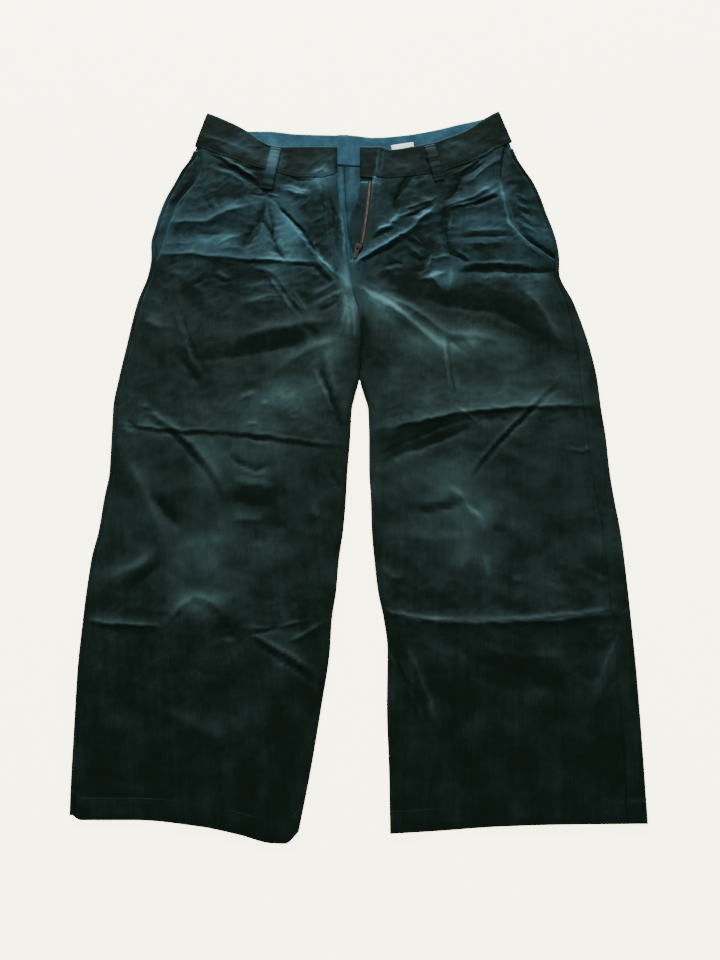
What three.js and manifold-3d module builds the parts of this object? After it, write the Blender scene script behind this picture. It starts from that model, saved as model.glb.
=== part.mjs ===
// Corduroy trousers laid face up on a flat surface with the fly open.
// X runs across (plus is the wearer's left), Y from the hems to the waist, Z up. Sizes are millimetres.
// The backs lie flat, the fronts lie on them, and every panel is a wall between a right and a wrong side.

import * as THREE from 'three';
import { mergeVertices } from 'three/addons/utils/BufferGeometryUtils.js';
import Module from 'manifold-3d';

const wasm = await Module();
wasm.setup();

// Thicknesses
const CLOTH = 1.6;            // one layer of corduroy
const HEM_CLOTH = 2.5;        // the hem, turned up and stitched
const BAND_CLOTH = 2.6;       // waistband: corduroy, interlining and facing
const THIN_CLOTH = 1.1;       // pocket facing and fly shield
const LOOP_CLOTH = 1.8;       // belt loop, folded in three
const TAPE = 0.8;             // zip tape
const SEAM = 0.3;             // space between pieces that are sewn to each other or lie on each other
const LEAST_CLOTH = 1.1;      // a wall is never thinner than this where it is pinched at an edge

// Sizes of the lay
const HEM_DEPTH = 24;         // height of the turned-up hem
const SIDE_STACK = 5.6;       // height of the folded side edge, two layers with a little air
const HEM_STACK = 6.3;        // the same at the hem and at the waist, where more cloth lies between
const SIDE_RISE = 55;         // the front swells from the side edge to its full height over this distance
const CREASE_MARGIN = 14;     // folds fade out over this distance from the side edge
const CROTCH_Y = 92;          // the legs part below this
const [ROW_LOW, ROW_HIGH] = [-440, 385];      // lowest and highest row of a panel before they bend
const [HEM_BEND, WAIST_BEND] = [70, 105];     // they bend to the hem and to the waist over these
const POCKET_END_Y = 252;     // the slant pocket meets the side seam here
const POCKET_UNDER = 8;       // the pocket facing goes this far under the front
const POCKET_SLACK = 0.8;     // and lies this much looser than flat against it
const POCKET_TOP_Y = 404;     // height of the pocket's top row, before it bends to the waist seam
const POCKET_STEP = 12;       // and rises to the side seam over this distance
const POCKET_BEND = 24;       // its rows bend to the waist seam over this distance

// Waistband and belt loops
const BAND_BACK_TOP = 3;      // height of the back band, which lies face down on the table
const BAND_PROUD = 0.7;       // the front bands' doubled cloth stands this far above the panels
const BAND_TOP = 7.4;         // height of their top edge
const BAND_END = 4.8;         // and of their side end, where the band turns down
const BAND_TURN = 10;         // over this distance
const BAND_SIDE = { right: -213, left: 200 };   // x where each front band ends at the side seam
const UNDERLAP_X = 24;        // the left band's end steps down under the right one before this x
const UNDERLAP_TOP = 6.4;     // to this height
const UNDERLAP_STOPS = [13, 8, 2];
const LOOP_WIDTH = 14;
const LOOP_LIFT = 1;          // rise of a front loop between its tacked ends
const LOOP_EASE = 0.2;        // air under the tacks
const BACK_LOOP_X = -20;
const BACK_LOOP_THICK = 1;

// Zip
const TAPE_WIDTH = 9;
const TAPE_PROUD = 1.6;       // the tape shows this far past the chain
const CHAIN_WIDTH = 2.6;
const CHAIN_HEIGHT = 1.5;
const CHAIN_EDGE = -4.3;      // the chain's far edge, measured from the left fly edge
const CHAIN_CLEAR = 0.05;
const RIGHT_TAPE = [1.5, 5, 10.5];              // stations of the right tape behind the right fly edge
const TAPE_EASE = 0.5;        // air between the right tape and the front over it
const ZIP_BOTTOM_Y = 274;
const ZIP_TOP_Y = 362;
const SHIELD_TOP = 4.4;       // upper side of the fly shield
const SLIDER = { x: -0.4, y: 268.6, base: 4.7, width: 7.6, length: 9, plate: 0.9, web: 1.6, webWidth: 2.2 };
const BAIL = { width: 1.8, length: 5.2, leg: 0.9, hole: 1.8, roof: 0.8 };
const PULL = { bar: 1, thick: 1, eyeWidth: 3, eyeLength: 3.6, rim: 1.2, length: 17, endWidth: 6, turn: -0.3 };

const LABEL = { x: 58, y: 409.5, width: 29, height: 15, thick: 0.5, turn: 0.16 };

const COLOURS = { corduroy: 0x2f5f5e, facing: 0x4f8697, metal: 0x8f8a80, tape: 0x4a4636, label: 0xe9eae6 };

// A short table: one row for each section, with named columns.
function table(columns, rows) {
  return rows.map((row) => Object.fromEntries(columns.map((name, i) => [name, row[i]])));
}

// Outline of the lay, hem to waist: outer edge of the wearer's right and left side.
const OUTLINE = table(['y', 'right', 'left'], [
  [-460, -324, 326], [-377, -326, 325], [-275, -326, 323], [-205, -323, 320], [-133, -317, 316],
  [-97, -310, 313], [-60, -306, 308], [-22, -301, 304], [16, -301, 302], [54, -301, 298],
  [93, -296, 295], [133, -289, 288], [193, -278, 271], [236, -265, 254], [254, -263, 255],
  [275, -264, 253], [296, -260, 248], [317, -255, 241], [338, -248, 235], [361, -237, 226],
  [378, -229, 216], [396, -218, 206], [414, -213, 200], [430, -212, 195], [448, -206, 189],
  [464, -198, 184],
]);

// Inner edge of each front: inseam, centre seam above the crotch, then the open edges of the fly.
const INNER = table(['y', 'right', 'left'], [
  [-460, -70, 36], [-377, -54, 35], [-309, -43, 33], [-240, -33, 34], [-205, -31, 30],
  [-170, -26, 23], [-133, -23, 19], [-97, -18, 16], [-60, -15, 15], [-22, -13, 13], [16, -10, 13],
  [54, -8, 12], [73, -4, 7], [92, 0.6, 2.4], [112, 2.4, 3.2], [133, 4, 4.3], [180, 0, 0.3], [213, -8, -7.7],
  [232, -10.4, -10.1], [247, -12, -11.7], [264, -14.5, 5], [303, -17, 12], [338, -26, 16],
  [372, -28, 19], [420, -28, 25],
]);

// Centre seam of the backs above the crotch.
const CENTRE_BACK = table(['y', 'x'], [[92, 1], [133, 4], [180, 0], [247, -8], [330, -16], [420, -20]]);

// Slant pocket opening: the outer edge of each front between the hip and the waistband.
const POCKET = table(['y', 'right', 'left'], [
  [252, -256, 249], [265, -251, 232], [278, -248, 214], [293, -244, 201], [310, -239, 193],
  [327, -234, 190], [345, -222, 187], [364, -209, 183], [385, -204, 185], [414, -206, 190],
]);

// Width of the strip of each back that folds over the side edge onto the front.
const SIDE_WRAP = table(['y', 'right', 'left'], [
  [-460, 3, 20], [60, 3, 20], [190, 3, 9], [250, 3, 3], [420, 3, 3],
]);

// Hem of each leg, by x.
const HEM_RIGHT = table(['x', 'y'], [
  [-326, -424], [-311, -432], [-251, -432], [-178, -439], [-133, -448], [-97, -457],
  [-82, -457.5], [-66, -444],
]);
const HEM_LEFT = table(['x', 'y'], [[34, -447], [85, -444], [160, -439], [227, -437], [327, -436]]);

// Waistband stations: a point on the seam with the panel and the point above it on the top edge.
const STATION = ['x', 'y', 'topX', 'topY'];
const BAND_RIGHT = table(STATION, [
  [-213, 413, -198, 461], [-197, 406, -182, 454], [-175, 396, -162, 444], [-155, 389, -145, 434],
  [-140, 382, -128, 421], [-120, 376, -112, 413], [-98, 370, -92, 411], [-76, 365, -72, 412],
  [-50, 365, -49, 412], [-28, 371, -28, 412],
]);
const BAND_LEFT = table(STATION, [
  [2, 368, 2, 412], [20, 366, 24, 412], [40, 364, 43, 407], [68, 367, 68, 411], [90, 370, 88, 415],
  [108, 372, 105, 420], [118, 377, 114, 424], [140, 385, 134, 432], [155, 392, 148, 440],
  [180, 408, 166, 453], [200, 419, 184, 464],
]);
const BAND_BACK = table(STATION, [
  [-213, 406, -199, 458], [-170, 399, -165, 440], [-140, 393, -138, 436], [-120, 391, -119, 436],
  [-80, 388, -80, 432], [-27, 387, -27, 430.5], [-13, 386, -13, 430.5], [20, 384, 20, 427],
  [60, 386, 58, 430], [100, 394, 97, 437], [140, 402, 135, 447], [170, 406, 160, 453],
  [200, 409, 184.5, 461],
]);

// Edge of the fly shield that shows in the open fly.
const SHIELD = table(['y', 'x'], [[262, -7], [290, -11], [315, -9], [338, -1], [362, 3]]);

// Height of the fronts' upper side along the middle of each leg and over the hips.
const BODY_HEIGHT = table(['y', 'height'], [
  [-460, 6.4], [-400, 6.3], [-220, 6.6], [-60, 7], [60, 7.6], [160, 8.2], [260, 9], [350, 9.6], [420, 9],
]);

// Height of the inner edge: flat on the back at the inseam and centre seam, raised at the fly.
const INNER_EDGE = table(['y', 'right', 'left', 'round'], [
  [-460, 4.4, 4.4, 9], [-430, 3.6, 3.6, 9], [60, 3.4, 3.4, 9], [140, 3.4, 3.4, 13], [230, 3.6, 3.6, 13],
  [252, 5.2, 5.2, 14], [272, 6.2, 7.8, 14], [420, 6.6, 7.8, 14],
]);

// The largest folds: how far each rises (or sinks) and its width to the left and right of its path.
const FOLD = ['rise', 'left', 'right', 'path'];
const FOLDS = table(FOLD, [
  // creases across both legs from storage, hip, thigh and calf
  [3.0, 14, 6, [[-275, 262], [-215, 262], [-185, 258], [-145, 254], [-100, 251], [-45, 249]]],
  [-3.6, 7, 12, [[118, 236], [150, 240], [200, 238], [266, 240]]],
  [-3.2, 7, 12, [[-312, 35], [-250, 27], [-222, 18], [-190, 21], [-130, 17], [-80, 10], [-8, -2]]],
  [3.6, 14, 7, [[14, 33], [60, 43], [90, 50], [120, 53], [160, 58], [200, 63], [250, 67], [308, 70]]],
  [2.0, 10, 8, [[-330, -204], [-270, -210], [-228, -213]]],
  [3.0, 12, 11, [[-228, -213], [-210, -190], [-193, -178], [-172, -184], [-158, -205]]],
  [-3.0, 10, 10, [[-152, -206], [-150, -232]]],
  [3.0, 8, 7, [[-133, -216], [-100, -226], [-68, -248]]],
  [2.8, 12, 7, [[16, -192], [60, -204], [119, -210], [155, -208], [235, -206], [284, -199], [332, -196]]],
  // wearer's right: pleat below the belt loop and the folds around it
  [-3.6, 6, 8, [[-112, 340], [-88, 312], [-65, 288], [-52, 262], [-45, 244]]],
  [3.2, 6, 10, [[-108, 332], [-85, 302], [-65, 275], [-50, 250], [-38, 235], [-26, 220]]],
  [-2.6, 7, 7, [[-120, 338], [-126, 315], [-135, 295], [-145, 275], [-148, 252]]],
  [-2.8, 7, 7, [[-122, 310], [-112, 292], [-110, 272], [-98, 258], [-86, 244]]],
  [-2.8, 6, 8, [[-188, 391], [-165, 381], [-140, 364], [-118, 349]]],
  [3.0, 11, 9, [[-262, 309], [-225, 306], [-195, 307], [-170, 320], [-145, 329], [-128, 332]]],
  [2.8, 7, 6, [[-120, 246], [-105, 230], [-88, 203], [-64, 176]]],
  // wearer's right: thigh and knee
  [2.8, 16, 12, [[-155, 148], [-110, 159], [-62, 169], [-26, 172]]],
  [-3.2, 15, 15, [[-212, 120], [-160, 124], [-110, 133], [-45, 150]]],
  [2.4, 14, 14, [[-110, 96], [-80, 122], [-45, 140], [-16, 150]]],
  [-2.6, 7, 7, [[-222, 124], [-208, 105], [-197, 86]]],
  [2.0, 8, 8, [[-233, 224], [-222, 180], [-213, 148], [-206, 124]]],
  [2.8, 10, 8, [[-222, 24], [-212, 14], [-190, -4], [-172, -26], [-155, -48]]],
  [-2.4, 14, 14, [[-156, -58], [-125, -65], [-96, -68]]],
  [2.2, 10, 10, [[-282, -8], [-262, -42], [-247, -75], [-231, -114]]],
  [-2.2, 9, 9, [[-252, -50], [-232, -76], [-208, -98]]],
  // wearer's left: folds that run from the crotch, and the pleat
  [3.8, 8, 10, [[-10, 246], [10, 261], [40, 278], [65, 294], [85, 315], [112, 331]]],
  [4.0, 9, 11, [[-2, 218], [20, 206], [40, 191], [60, 175], [80, 157], [112, 128]]],
  [2.6, 10, 9, [[20, 213], [60, 192], [90, 172], [112, 153], [150, 150], [196, 141]]],
  [-3.6, 24, 24, [[50, 212], [110, 192], [175, 184], [238, 140]]],
  [2.4, 11, 11, [[200, 222], [228, 190], [243, 160], [260, 124]]],
  [3.0, 12, 9, [[88, 236], [104, 216], [111, 196]]],
  [3.2, 9, 7, [[108, 327], [130, 334], [150, 342], [165, 352], [180, 362]]],
  [-3.2, 7, 7, [[109, 330], [112, 312], [110, 290], [114, 266], [128, 252]]],
  [-2.4, 7, 7, [[112, 344], [126, 351], [134, 370], [153, 384], [166, 391]]],
  // wearer's left: thigh and knee
  [2.4, 7, 7, [[108, 134], [113, 115], [119, 92], [124, 60]]],
  [-2.8, 9, 6, [[250, 99], [225, 76], [205, 58], [190, 33], [165, 8], [135, -20], [110, -46]]],
  [-2.4, 7, 18, [[148, 38], [100, 14], [55, 0], [20, -20]]],
  [2.2, 8, 8, [[102, -46], [122, -56], [138, -75], [158, -87]]],
  [1.5, 11, 11, [[44, -245], [69, -310]]],
  [1.5, 11, 11, [[308, -226], [292, -268], [266, -312]]],
]);

const clamp01 = (value) => Math.min(1, Math.max(0, value));
const smooth = (value) => clamp01(value) ** 2 * (3 - 2 * clamp01(value));
const mix = (from, to, share) => from + (to - from) * share;

// Smooth curve through one column of a table that never overshoots its rows.
function read(rows, key, column, at) {
  const last = rows.length - 1;
  if (at <= rows[0][key]) return rows[0][column];
  if (at >= rows[last][key]) return rows[last][column];
  const i = rows.findIndex((row) => row[key] > at) - 1;
  const secant = (k) => (rows[k + 1][column] - rows[k][column]) / (rows[k + 1][key] - rows[k][key]);
  const slope = (k) => {
    if (k === 0 || k === last) return secant(k === 0 ? 0 : last - 1);
    const product = secant(k - 1) * secant(k);
    return product <= 0 ? 0 : (2 * product) / (secant(k - 1) + secant(k));
  };
  const span = rows[i + 1][key] - rows[i][key];
  const t = (at - rows[i][key]) / span;
  const away = t * t * (3 - 2 * t);
  return mix(rows[i][column], rows[i + 1][column], away)
    + span * t * (1 - t) * ((1 - t) * slope(i) - t * slope(i + 1));
}

// Rise of the cloth from one fold: a soft crest with its own width on each side, tapered at both ends.
function foldRise(fold, x, y) {
  const { path } = fold;
  let best = { distance: Infinity, along: 0, side: 1 };
  let travelled = 0;
  for (let i = 0; i + 1 < path.length; i += 1) {
    const [ax, ay] = path[i];
    const [dx, dy] = [path[i + 1][0] - ax, path[i + 1][1] - ay];
    const length = Math.hypot(dx, dy);
    const share = clamp01(((x - ax) * dx + (y - ay) * dy) / length ** 2);
    const distance = Math.hypot(x - ax - share * dx, y - ay - share * dy);
    if (distance < best.distance) {
      best = { distance, along: travelled + share * length, side: dx * (y - ay) - dy * (x - ax) };
    }
    travelled += length;
  }
  const width = best.side > 0 ? fold.left : fold.right;
  const toEnd = Math.min(best.along, travelled - best.along) / (travelled * 0.22);
  return fold.rise * (0.25 + 0.75 * smooth(toEnd)) * Math.exp(-((best.distance / width) ** 1.6));
}

// How much of the turned-up hem a point has: 1 on the hem, 0 above its stitching.
const hemShare = (x, y) => {
  const hem = x < 0 ? read(HEM_RIGHT, 'x', 'y', x) : read(HEM_LEFT, 'x', 'y', x);
  return 1 - smooth((y - hem - HEM_DEPTH) / 4);
};
const sideStack = (x, y) => {
  const share = Math.max(hemShare(x, y), smooth((y - 340) / 50));
  return mix(SIDE_STACK, HEM_STACK, share);
};

// Height of the upper side of the lay at a point, with its folds or pressed smooth.
function layHeight(x, y, side, folds = FOLDS) {
  const outward = Math.abs(x - read(OUTLINE, 'y', side, y));
  const inward = Math.abs(x - read(INNER, 'y', side, y));
  const stack = sideStack(x, y);
  const swell = (outward - stack / 2) / SIDE_RISE;
  let height = mix(stack, read(BODY_HEIGHT, 'y', 'height', y), smooth(swell));
  const creased = smooth((outward - stack / 2) / CREASE_MARGIN) * smooth(inward / 10);
  height += creased * folds.reduce((sum, fold) => sum + foldRise(fold, x, y), 0);
  const edge = read(INNER_EDGE, 'y', side, y);
  const turn = 1 - clamp01(inward / read(INNER_EDGE, 'y', 'round', y));
  height = mix(edge, height, Math.sqrt(1 - turn * turn));
  return Math.max(height, backTop(x, y) + SEAM + LEAST_CLOTH);
}

// Upper side of what lies at the bottom: the back panels or the back of the waistband.
const backTop = (x, y) => {
  const seam = read(BAND_BACK, 'x', 'y', x);
  return Math.max(mix(CLOTH, HEM_CLOTH, hemShare(x, y)), y > seam - 4 ? BAND_BACK_TOP : 0);
};

// A closed wall between two grids of points: its right side and its wrong side.
function wall(name, colour, outer, inner) {
  const rows = outer.length;
  const columns = outer[0].length;
  const at = (r, c, side) => side * rows * columns + r * columns + c;
  const index = [];
  const quad = (a, b, c, d) => index.push(a, b, c, a, c, d);
  for (let r = 0; r + 1 < rows; r += 1) {
    for (let c = 0; c + 1 < columns; c += 1) {
      quad(at(r, c, 0), at(r, c + 1, 0), at(r + 1, c + 1, 0), at(r + 1, c, 0));
      quad(at(r, c, 1), at(r + 1, c, 1), at(r + 1, c + 1, 1), at(r, c + 1, 1));
    }
    const end = columns - 1;
    quad(at(r, 0, 1), at(r, 0, 0), at(r + 1, 0, 0), at(r + 1, 0, 1));
    quad(at(r, end, 1), at(r + 1, end, 1), at(r + 1, end, 0), at(r, end, 0));
  }
  for (let c = 0; c + 1 < columns; c += 1) {
    const top = rows - 1;
    quad(at(0, c, 1), at(0, c + 1, 1), at(0, c + 1, 0), at(0, c, 0));
    quad(at(top, c, 0), at(top, c + 1, 0), at(top, c + 1, 1), at(top, c, 1));
  }
  const points = [...outer.flat(), ...inner.flat()];
  if (volume(points, index) < 0) index.reverse();
  const geometry = new THREE.BufferGeometry().setFromPoints(points);
  geometry.setIndex(index);
  geometry.computeVertexNormals();
  return solid(name, colour, geometry);
}

function volume(points, index) {
  let six = 0;
  for (let i = 0; i < index.length; i += 3) {
    const [a, b, c] = [points[index[i]], points[index[i + 1]], points[index[i + 2]]];
    six += a.dot(b.clone().cross(c));
  }
  return six / 6;
}

function solid(name, colour, geometry) {
  const metal = colour === 'metal';
  const material = new THREE.MeshStandardMaterial({
    color: COLOURS[colour], roughness: metal ? 0.35 : 0.95, metalness: metal ? 0.9 : 0,
  });
  const mesh = new THREE.Mesh(geometry, material);
  mesh.name = name;
  return mesh;
}

const range = (count) => Array.from({ length: count }, (_, i) => i / (count - 1));
const lower = (point, by, floor) => new THREE.Vector3(point.x, point.y, Math.max(point.z - by, floor));

// Rows of a panel: close together at the storage creases, further apart between them.
const ROW_PLAN = table(['from', 'to', 'steps'], [
  [ROW_LOW, -416, 2], [-416, -230, 8], [-230, -185, 4], [-185, -15, 8], [-15, 80, 6],
  [80, 225, 10], [225, 270, 4], [270, ROW_HIGH, 8],
]);
function rowHeights(coarseness) {
  const heights = [ROW_PLAN[0].from];
  ROW_PLAN.forEach(({ from, to, steps }) => {
    const count = Math.max(1, Math.round(steps / coarseness));
    for (let i = 1; i <= count; i += 1) heights.push(mix(from, to, i / count));
  });
  return heights;
}

// Point of a panel's grid: the rows bend to follow the hem below and the waist seam above.
function panelPoint(share, height, edges) {
  let [x, y] = [0, height];
  const nearTop = smooth((height - ROW_HIGH + WAIST_BEND) / WAIST_BEND);
  const nearHem = 1 - smooth((height - ROW_LOW) / HEM_BEND);
  for (let i = 0; i < 8; i += 1) {
    x = mix(edges.outer(y), edges.inner(y), share);
    y = height + nearTop * (edges.top(x) - ROW_HIGH) + nearHem * (edges.hem(x) - ROW_LOW);
  }
  return [x, y];
}

const away = (side) => (side === 'right' ? 1 : -1);   // from the outer edge towards the middle
const hemOf = (side) => (x) => read(side === 'right' ? HEM_RIGHT : HEM_LEFT, 'x', 'y', x);
const waistSeam = (side) => (x) => read(side === 'right' ? BAND_RIGHT : BAND_LEFT, 'x', 'y', x) - SEAM;
const wrapEnd = (side) => (y) => {
  const edge = read(OUTLINE, 'y', side, y);
  return edge + away(side) * (sideStack(edge, y) / 2 + read(SIDE_WRAP, 'y', side, y));
};

// Straight stitches from row to row of a seam, so that the pieces on both sides of it meet evenly.
function chord(points, y) {
  const after = Math.min(Math.max(points.findIndex((point) => point[1] > y), 1), points.length - 1);
  const [a, b] = y > points.at(-1)[1] ? points.slice(-2) : [points[after - 1], points[after]];
  return mix(a[0], b[0], (y - a[1]) / (b[1] - a[1]));
}
const frontOuter = (side) => {
  const seam = sideSeam(side);
  return (y) => (y > POCKET_END_Y ? read(POCKET, 'y', side, y) : chord(seam, y) + away(side) * SEAM);
};

// Columns of a front panel, closer together where it turns down at its inner edge.
const FRONT_SHARES = [...range(17).map((share) => share * 0.95), 0.972, 0.99, 1];

// Front panel: from the side seam to the inseam, with the slant pocket cut from its upper corner.
function frontPanel(side) {
  const edges = {
    outer: frontOuter(side), inner: (y) => read(INNER, 'y', side, y) - away(side) * SEAM / 2,
    top: waistSeam(side), hem: hemOf(side),
  };
  const outer = rowHeights(1).map((height) => FRONT_SHARES.map((share) => {
    const [x, y] = panelPoint(share, height, edges);
    return new THREE.Vector3(x, y, layHeight(x, y, side));
  }));
  const inner = outer.map((row) => row.map((point) => {
    const cloth = mix(CLOTH, HEM_CLOTH, hemShare(point.x, point.y));
    return lower(point, cloth, backTop(point.x, point.y) + SEAM);
  }));
  return wall(`front_${side}`, 'corduroy', outer, inner);
}

// Back panel: flat on the table, rolled up at the side edge and lapped over the front by the side wrap.
const backEdges = (side) => ({
  outer: (y) => {
    const edge = read(OUTLINE, 'y', side, y);
    return edge + away(side) * sideStack(edge, y) / 2;
  },
  inner: (y) => {
    const edge = y > CROTCH_Y ? read(CENTRE_BACK, 'y', 'x', y) : read(INNER, 'y', side, y);
    return edge - away(side) * SEAM / 2;
  },
  top: (x) => read(BAND_BACK, 'x', 'y', x) - SEAM,
  hem: hemOf(side),
});
const BACK_COARSENESS = 2;
const BACK_COLUMNS = 8;
const sideSeam = (side) => rowHeights(BACK_COARSENESS).map((height) => {
  const y = panelPoint(0, height, backEdges(side))[1];
  return [wrapEnd(side)(y), y];
});
function backPanel(side) {
  const toMiddle = away(side);
  const edges = backEdges(side);
  const flat = range(BACK_COLUMNS).map((share) => 1 - share);
  const turns = [0.25, 0.5, 0.75, 1].map((share) => share * Math.PI);
  const wraps = [0.5, 1];
  const outer = [];
  const inner = [];
  rowHeights(BACK_COARSENESS).forEach((height) => {
    const [edge, edgeY] = panelPoint(0, height, edges);
    const cloth = mix(CLOTH, HEM_CLOTH, hemShare(edge, edgeY));
    const radius = sideStack(edge, edgeY) / 2;
    const onTable = flat.map((share) => panelPoint(share, height, edges));
    const roll = (offset) => turns.map((turn) => new THREE.Vector3(
      edge - toMiddle * Math.sin(turn) * (radius - offset), edgeY,
      radius - Math.cos(turn) * (radius - offset)));
    const lap = (offset) => wraps.map((share) => {
      const x = mix(edge, wrapEnd(side)(edgeY), share);
      return new THREE.Vector3(x, edgeY, layHeight(x, edgeY, side) - offset);
    });
    outer.push([...onTable.map(([x, y]) => new THREE.Vector3(x, y, 0)), ...roll(0), ...lap(0)]);
    inner.push([...onTable.map(([x, y]) => new THREE.Vector3(x, y, mix(CLOTH, HEM_CLOTH, hemShare(x, y)))),
      ...roll(cloth), ...lap(cloth)]);
  });
  return wall(`back_${side}`, 'corduroy', outer, inner);
}

// Points of a front's top row, where the waistband is sewn on.
function panelTop(panel) {
  const count = FRONT_SHARES.length;
  const first = (rowHeights(1).length - 1) * count;
  const position = panel.geometry.attributes.position;
  return FRONT_SHARES.map((_, i) => [position.getX(first + i), position.getY(first + i)]);
}

// Pocket facing: the side piece that shows between the slant opening and the side seam.
function pocketFacing(side) {
  const toMiddle = away(side);
  const seam = sideSeam(side);
  const waist = waistSeam(side);
  const breaks = [POCKET_END_Y, ...seam.map((point) => point[1]).filter((y) => y > POCKET_END_Y + 4)];
  breaks[breaks.length - 1] = POCKET_TOP_Y;
  const heights = breaks.slice(1).flatMap((y, i) => [0, 0.5].map((share) => mix(breaks[i], y, share)));
  const outer = [...heights, POCKET_TOP_Y].map((height) => range(7).map((share) => {
    let [x, y] = [0, height];
    const nearTop = smooth((height - POCKET_TOP_Y + POCKET_BEND) / POCKET_BEND);
    for (let i = 0; i < 8; i += 1) {
      const edge = chord(seam, y) + toMiddle * SEAM;
      x = mix(edge, read(POCKET, 'y', side, y) + toMiddle * POCKET_UNDER, share);
      y = height + nearTop * (waist(x) - POCKET_TOP_Y);
    }
    const outside = (read(POCKET, 'y', side, y) - x) * toMiddle;
    const shown = smooth(outside / POCKET_STEP);
    const folded = layHeight(x, y, side);
    const under = Math.min(folded, layHeight(x, y, side, [])) - CLOTH - SEAM - POCKET_SLACK;
    const least = backTop(x, y) + SEAM + THIN_CLOTH;
    return new THREE.Vector3(x, y, Math.max(mix(under, folded, shown), least));
  }));
  const under = (point) => lower(point, THIN_CLOTH, backTop(point.x, point.y) + SEAM);
  const inner = outer.map((row) => row.map(under));
  return wall(`pocket_facing_${side}`, 'corduroy', outer, inner);
}

// Front of the waistband, one half: a thicker wall from the panel's seam to the free top edge.
function bandHeight(x, y, up, side) {
  const edge = Math.abs(x - read(OUTLINE, 'y', side, y));
  const body = layHeight(x, Math.min(y, 420), side) + BAND_PROUD;
  const level = mix(body, BAND_TOP, smooth(up * 1.2));
  const turn = 1 - clamp01(edge / BAND_TURN);
  const round = mix(BAND_END, level, Math.sqrt(1 - turn ** 2));
  if (side === 'right' || x >= UNDERLAP_X) return round;
  return mix(UNDERLAP_TOP, round, smooth((x - UNDERLAP_X + 4) / 4));
}
function waistbandFront(side, stations, panel) {
  const seam = (x) => [x, read(stations, 'x', 'y', x)];
  const columns = [seam(BAND_SIDE[side]), ...panelTop(panel).map(([x, y]) => [x, y + SEAM])];
  if (side === 'left') columns.push(...UNDERLAP_STOPS.map(seam));
  const outer = range(5).map((up) => columns.map(([seamX, seamY]) => {
    const [topX, topY] = ['topX', 'topY'].map((column) => read(stations, 'x', column, seamX));
    const [x, y] = [mix(seamX, topX, up), mix(seamY, topY, up)];
    return new THREE.Vector3(x, y, bandHeight(x, y, up, side));
  }));
  const inner = outer.map((row) => row.map((point) => lower(point, BAND_CLOTH, BAND_BACK_TOP + SEAM)));
  return wall(`waistband_front_${side}`, 'corduroy', outer, inner);
}

// Back of the waistband, face down: its facing shows above the fronts. A channel takes the belt loop.
function waistbandBack() {
  const channel = LOOP_WIDTH / 2 + SEAM;
  const top = ROW_PLAN.at(-1).to;
  const seamOf = (side) => range(BACK_COLUMNS).map((share) => panelPoint(share, top, backEdges(side)));
  const seam = [[-213, 406], ...seamOf('right'), ...seamOf('left').reverse(), [200, 409]];
  const onSeam = (x) => {
    const i = Math.max(1, seam.findIndex((point) => point[0] >= x));
    return mix(seam[i - 1][1], seam[i][1], (x - seam[i - 1][0]) / (seam[i][0] - seam[i - 1][0])) + SEAM;
  };
  const inChannel = (x) => Math.abs(x - BACK_LOOP_X) < channel - 0.02;
  const clear = seam.map(([x]) => x).filter((x) => Math.abs(x - BACK_LOOP_X) > channel + 1);
  const sides = [-channel, -channel + 0.05, channel - 0.05, channel].map((step) => BACK_LOOP_X + step);
  const places = [...clear, ...sides].sort((a, b) => a - b);
  const grid = (heightAt) => range(3).map((up) => places.map((x) => {
    const [topX, topY] = ['topX', 'topY'].map((column) => read(BAND_BACK, 'x', column, x));
    return new THREE.Vector3(mix(x, topX, up), mix(onSeam(x), topY, up), heightAt(x));
  }));
  const facing = grid(() => BAND_BACK_TOP);
  const rightSide = grid((x) => (inChannel(x) ? BACK_LOOP_THICK + SEAM : 0));
  return wall('waistband_back', 'facing', facing, rightSide);
}

// Belt loop on a front band: a strip over the band, tacked at its ends and lifted a little between them.
function frontLoop(side, stations, top, bottom) {
  const [dx, dy] = [bottom[0] - top[0], bottom[1] - top[1]];
  const length = Math.hypot(dx, dy);
  const ground = ({ x, y }) => {
    const [seam, edge] = ['y', 'topY'].map((column) => read(stations, 'x', column, x));
    if (y <= seam) return layHeight(x, y, side) + BAND_PROUD;
    return bandHeight(x, y, (y - seam) / (edge - seam), side);
  };
  const steps = range(11);
  const base = steps.map((down) => range(4).map((across) => {
    const offset = (across - 0.5) * LOOP_WIDTH;
    const x = top[0] + dx * down - (dy / length) * offset;
    return { x, y: top[1] + dy * down + (dx / length) * offset };
  }));
  const rise = base.map((row, i) => Math.max(...row.map(ground)) + SEAM + LOOP_EASE
    + LOOP_LIFT * Math.sin(Math.PI * steps[i]));
  const grid = (offset) => base.map((row, i) => (
    row.map(({ x, y }) => new THREE.Vector3(x, y, rise[i] + offset))));
  return wall(`belt_loop_front_${side}`, 'corduroy', grid(LOOP_CLOTH), grid(0));
}

// Belt loop at the centre back, between the band and the table.
function backLoop() {
  const bottom = read(BAND_BACK, 'x', 'y', BACK_LOOP_X);
  const top = read(BAND_BACK, 'x', 'topY', BACK_LOOP_X) + 1.5;
  const shape = new THREE.BoxGeometry(LOOP_WIDTH, top - bottom, BACK_LOOP_THICK);
  shape.translate(BACK_LOOP_X, (top + bottom) / 2, BACK_LOOP_THICK / 2);
  return solid('belt_loop_back', 'corduroy', shape);
}

// Fly shield: a doubled strip under the left fly edge that shows in the open fly.
function flyShield() {
  const [low, high] = [SHIELD[0].y, SHIELD.at(-1).y];
  const grid = (height) => range(9).map((climb) => range(4).map((share) => {
    const y = mix(low, high, climb);
    const hidden = read(INNER, 'y', 'left', y) + 8;
    return new THREE.Vector3(mix(read(SHIELD, 'y', 'x', y), hidden, share), y, height);
  }));
  return wall('fly_shield', 'corduroy', grid(SHIELD_TOP), grid(SHIELD_TOP - THIN_CLOTH));
}

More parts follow.
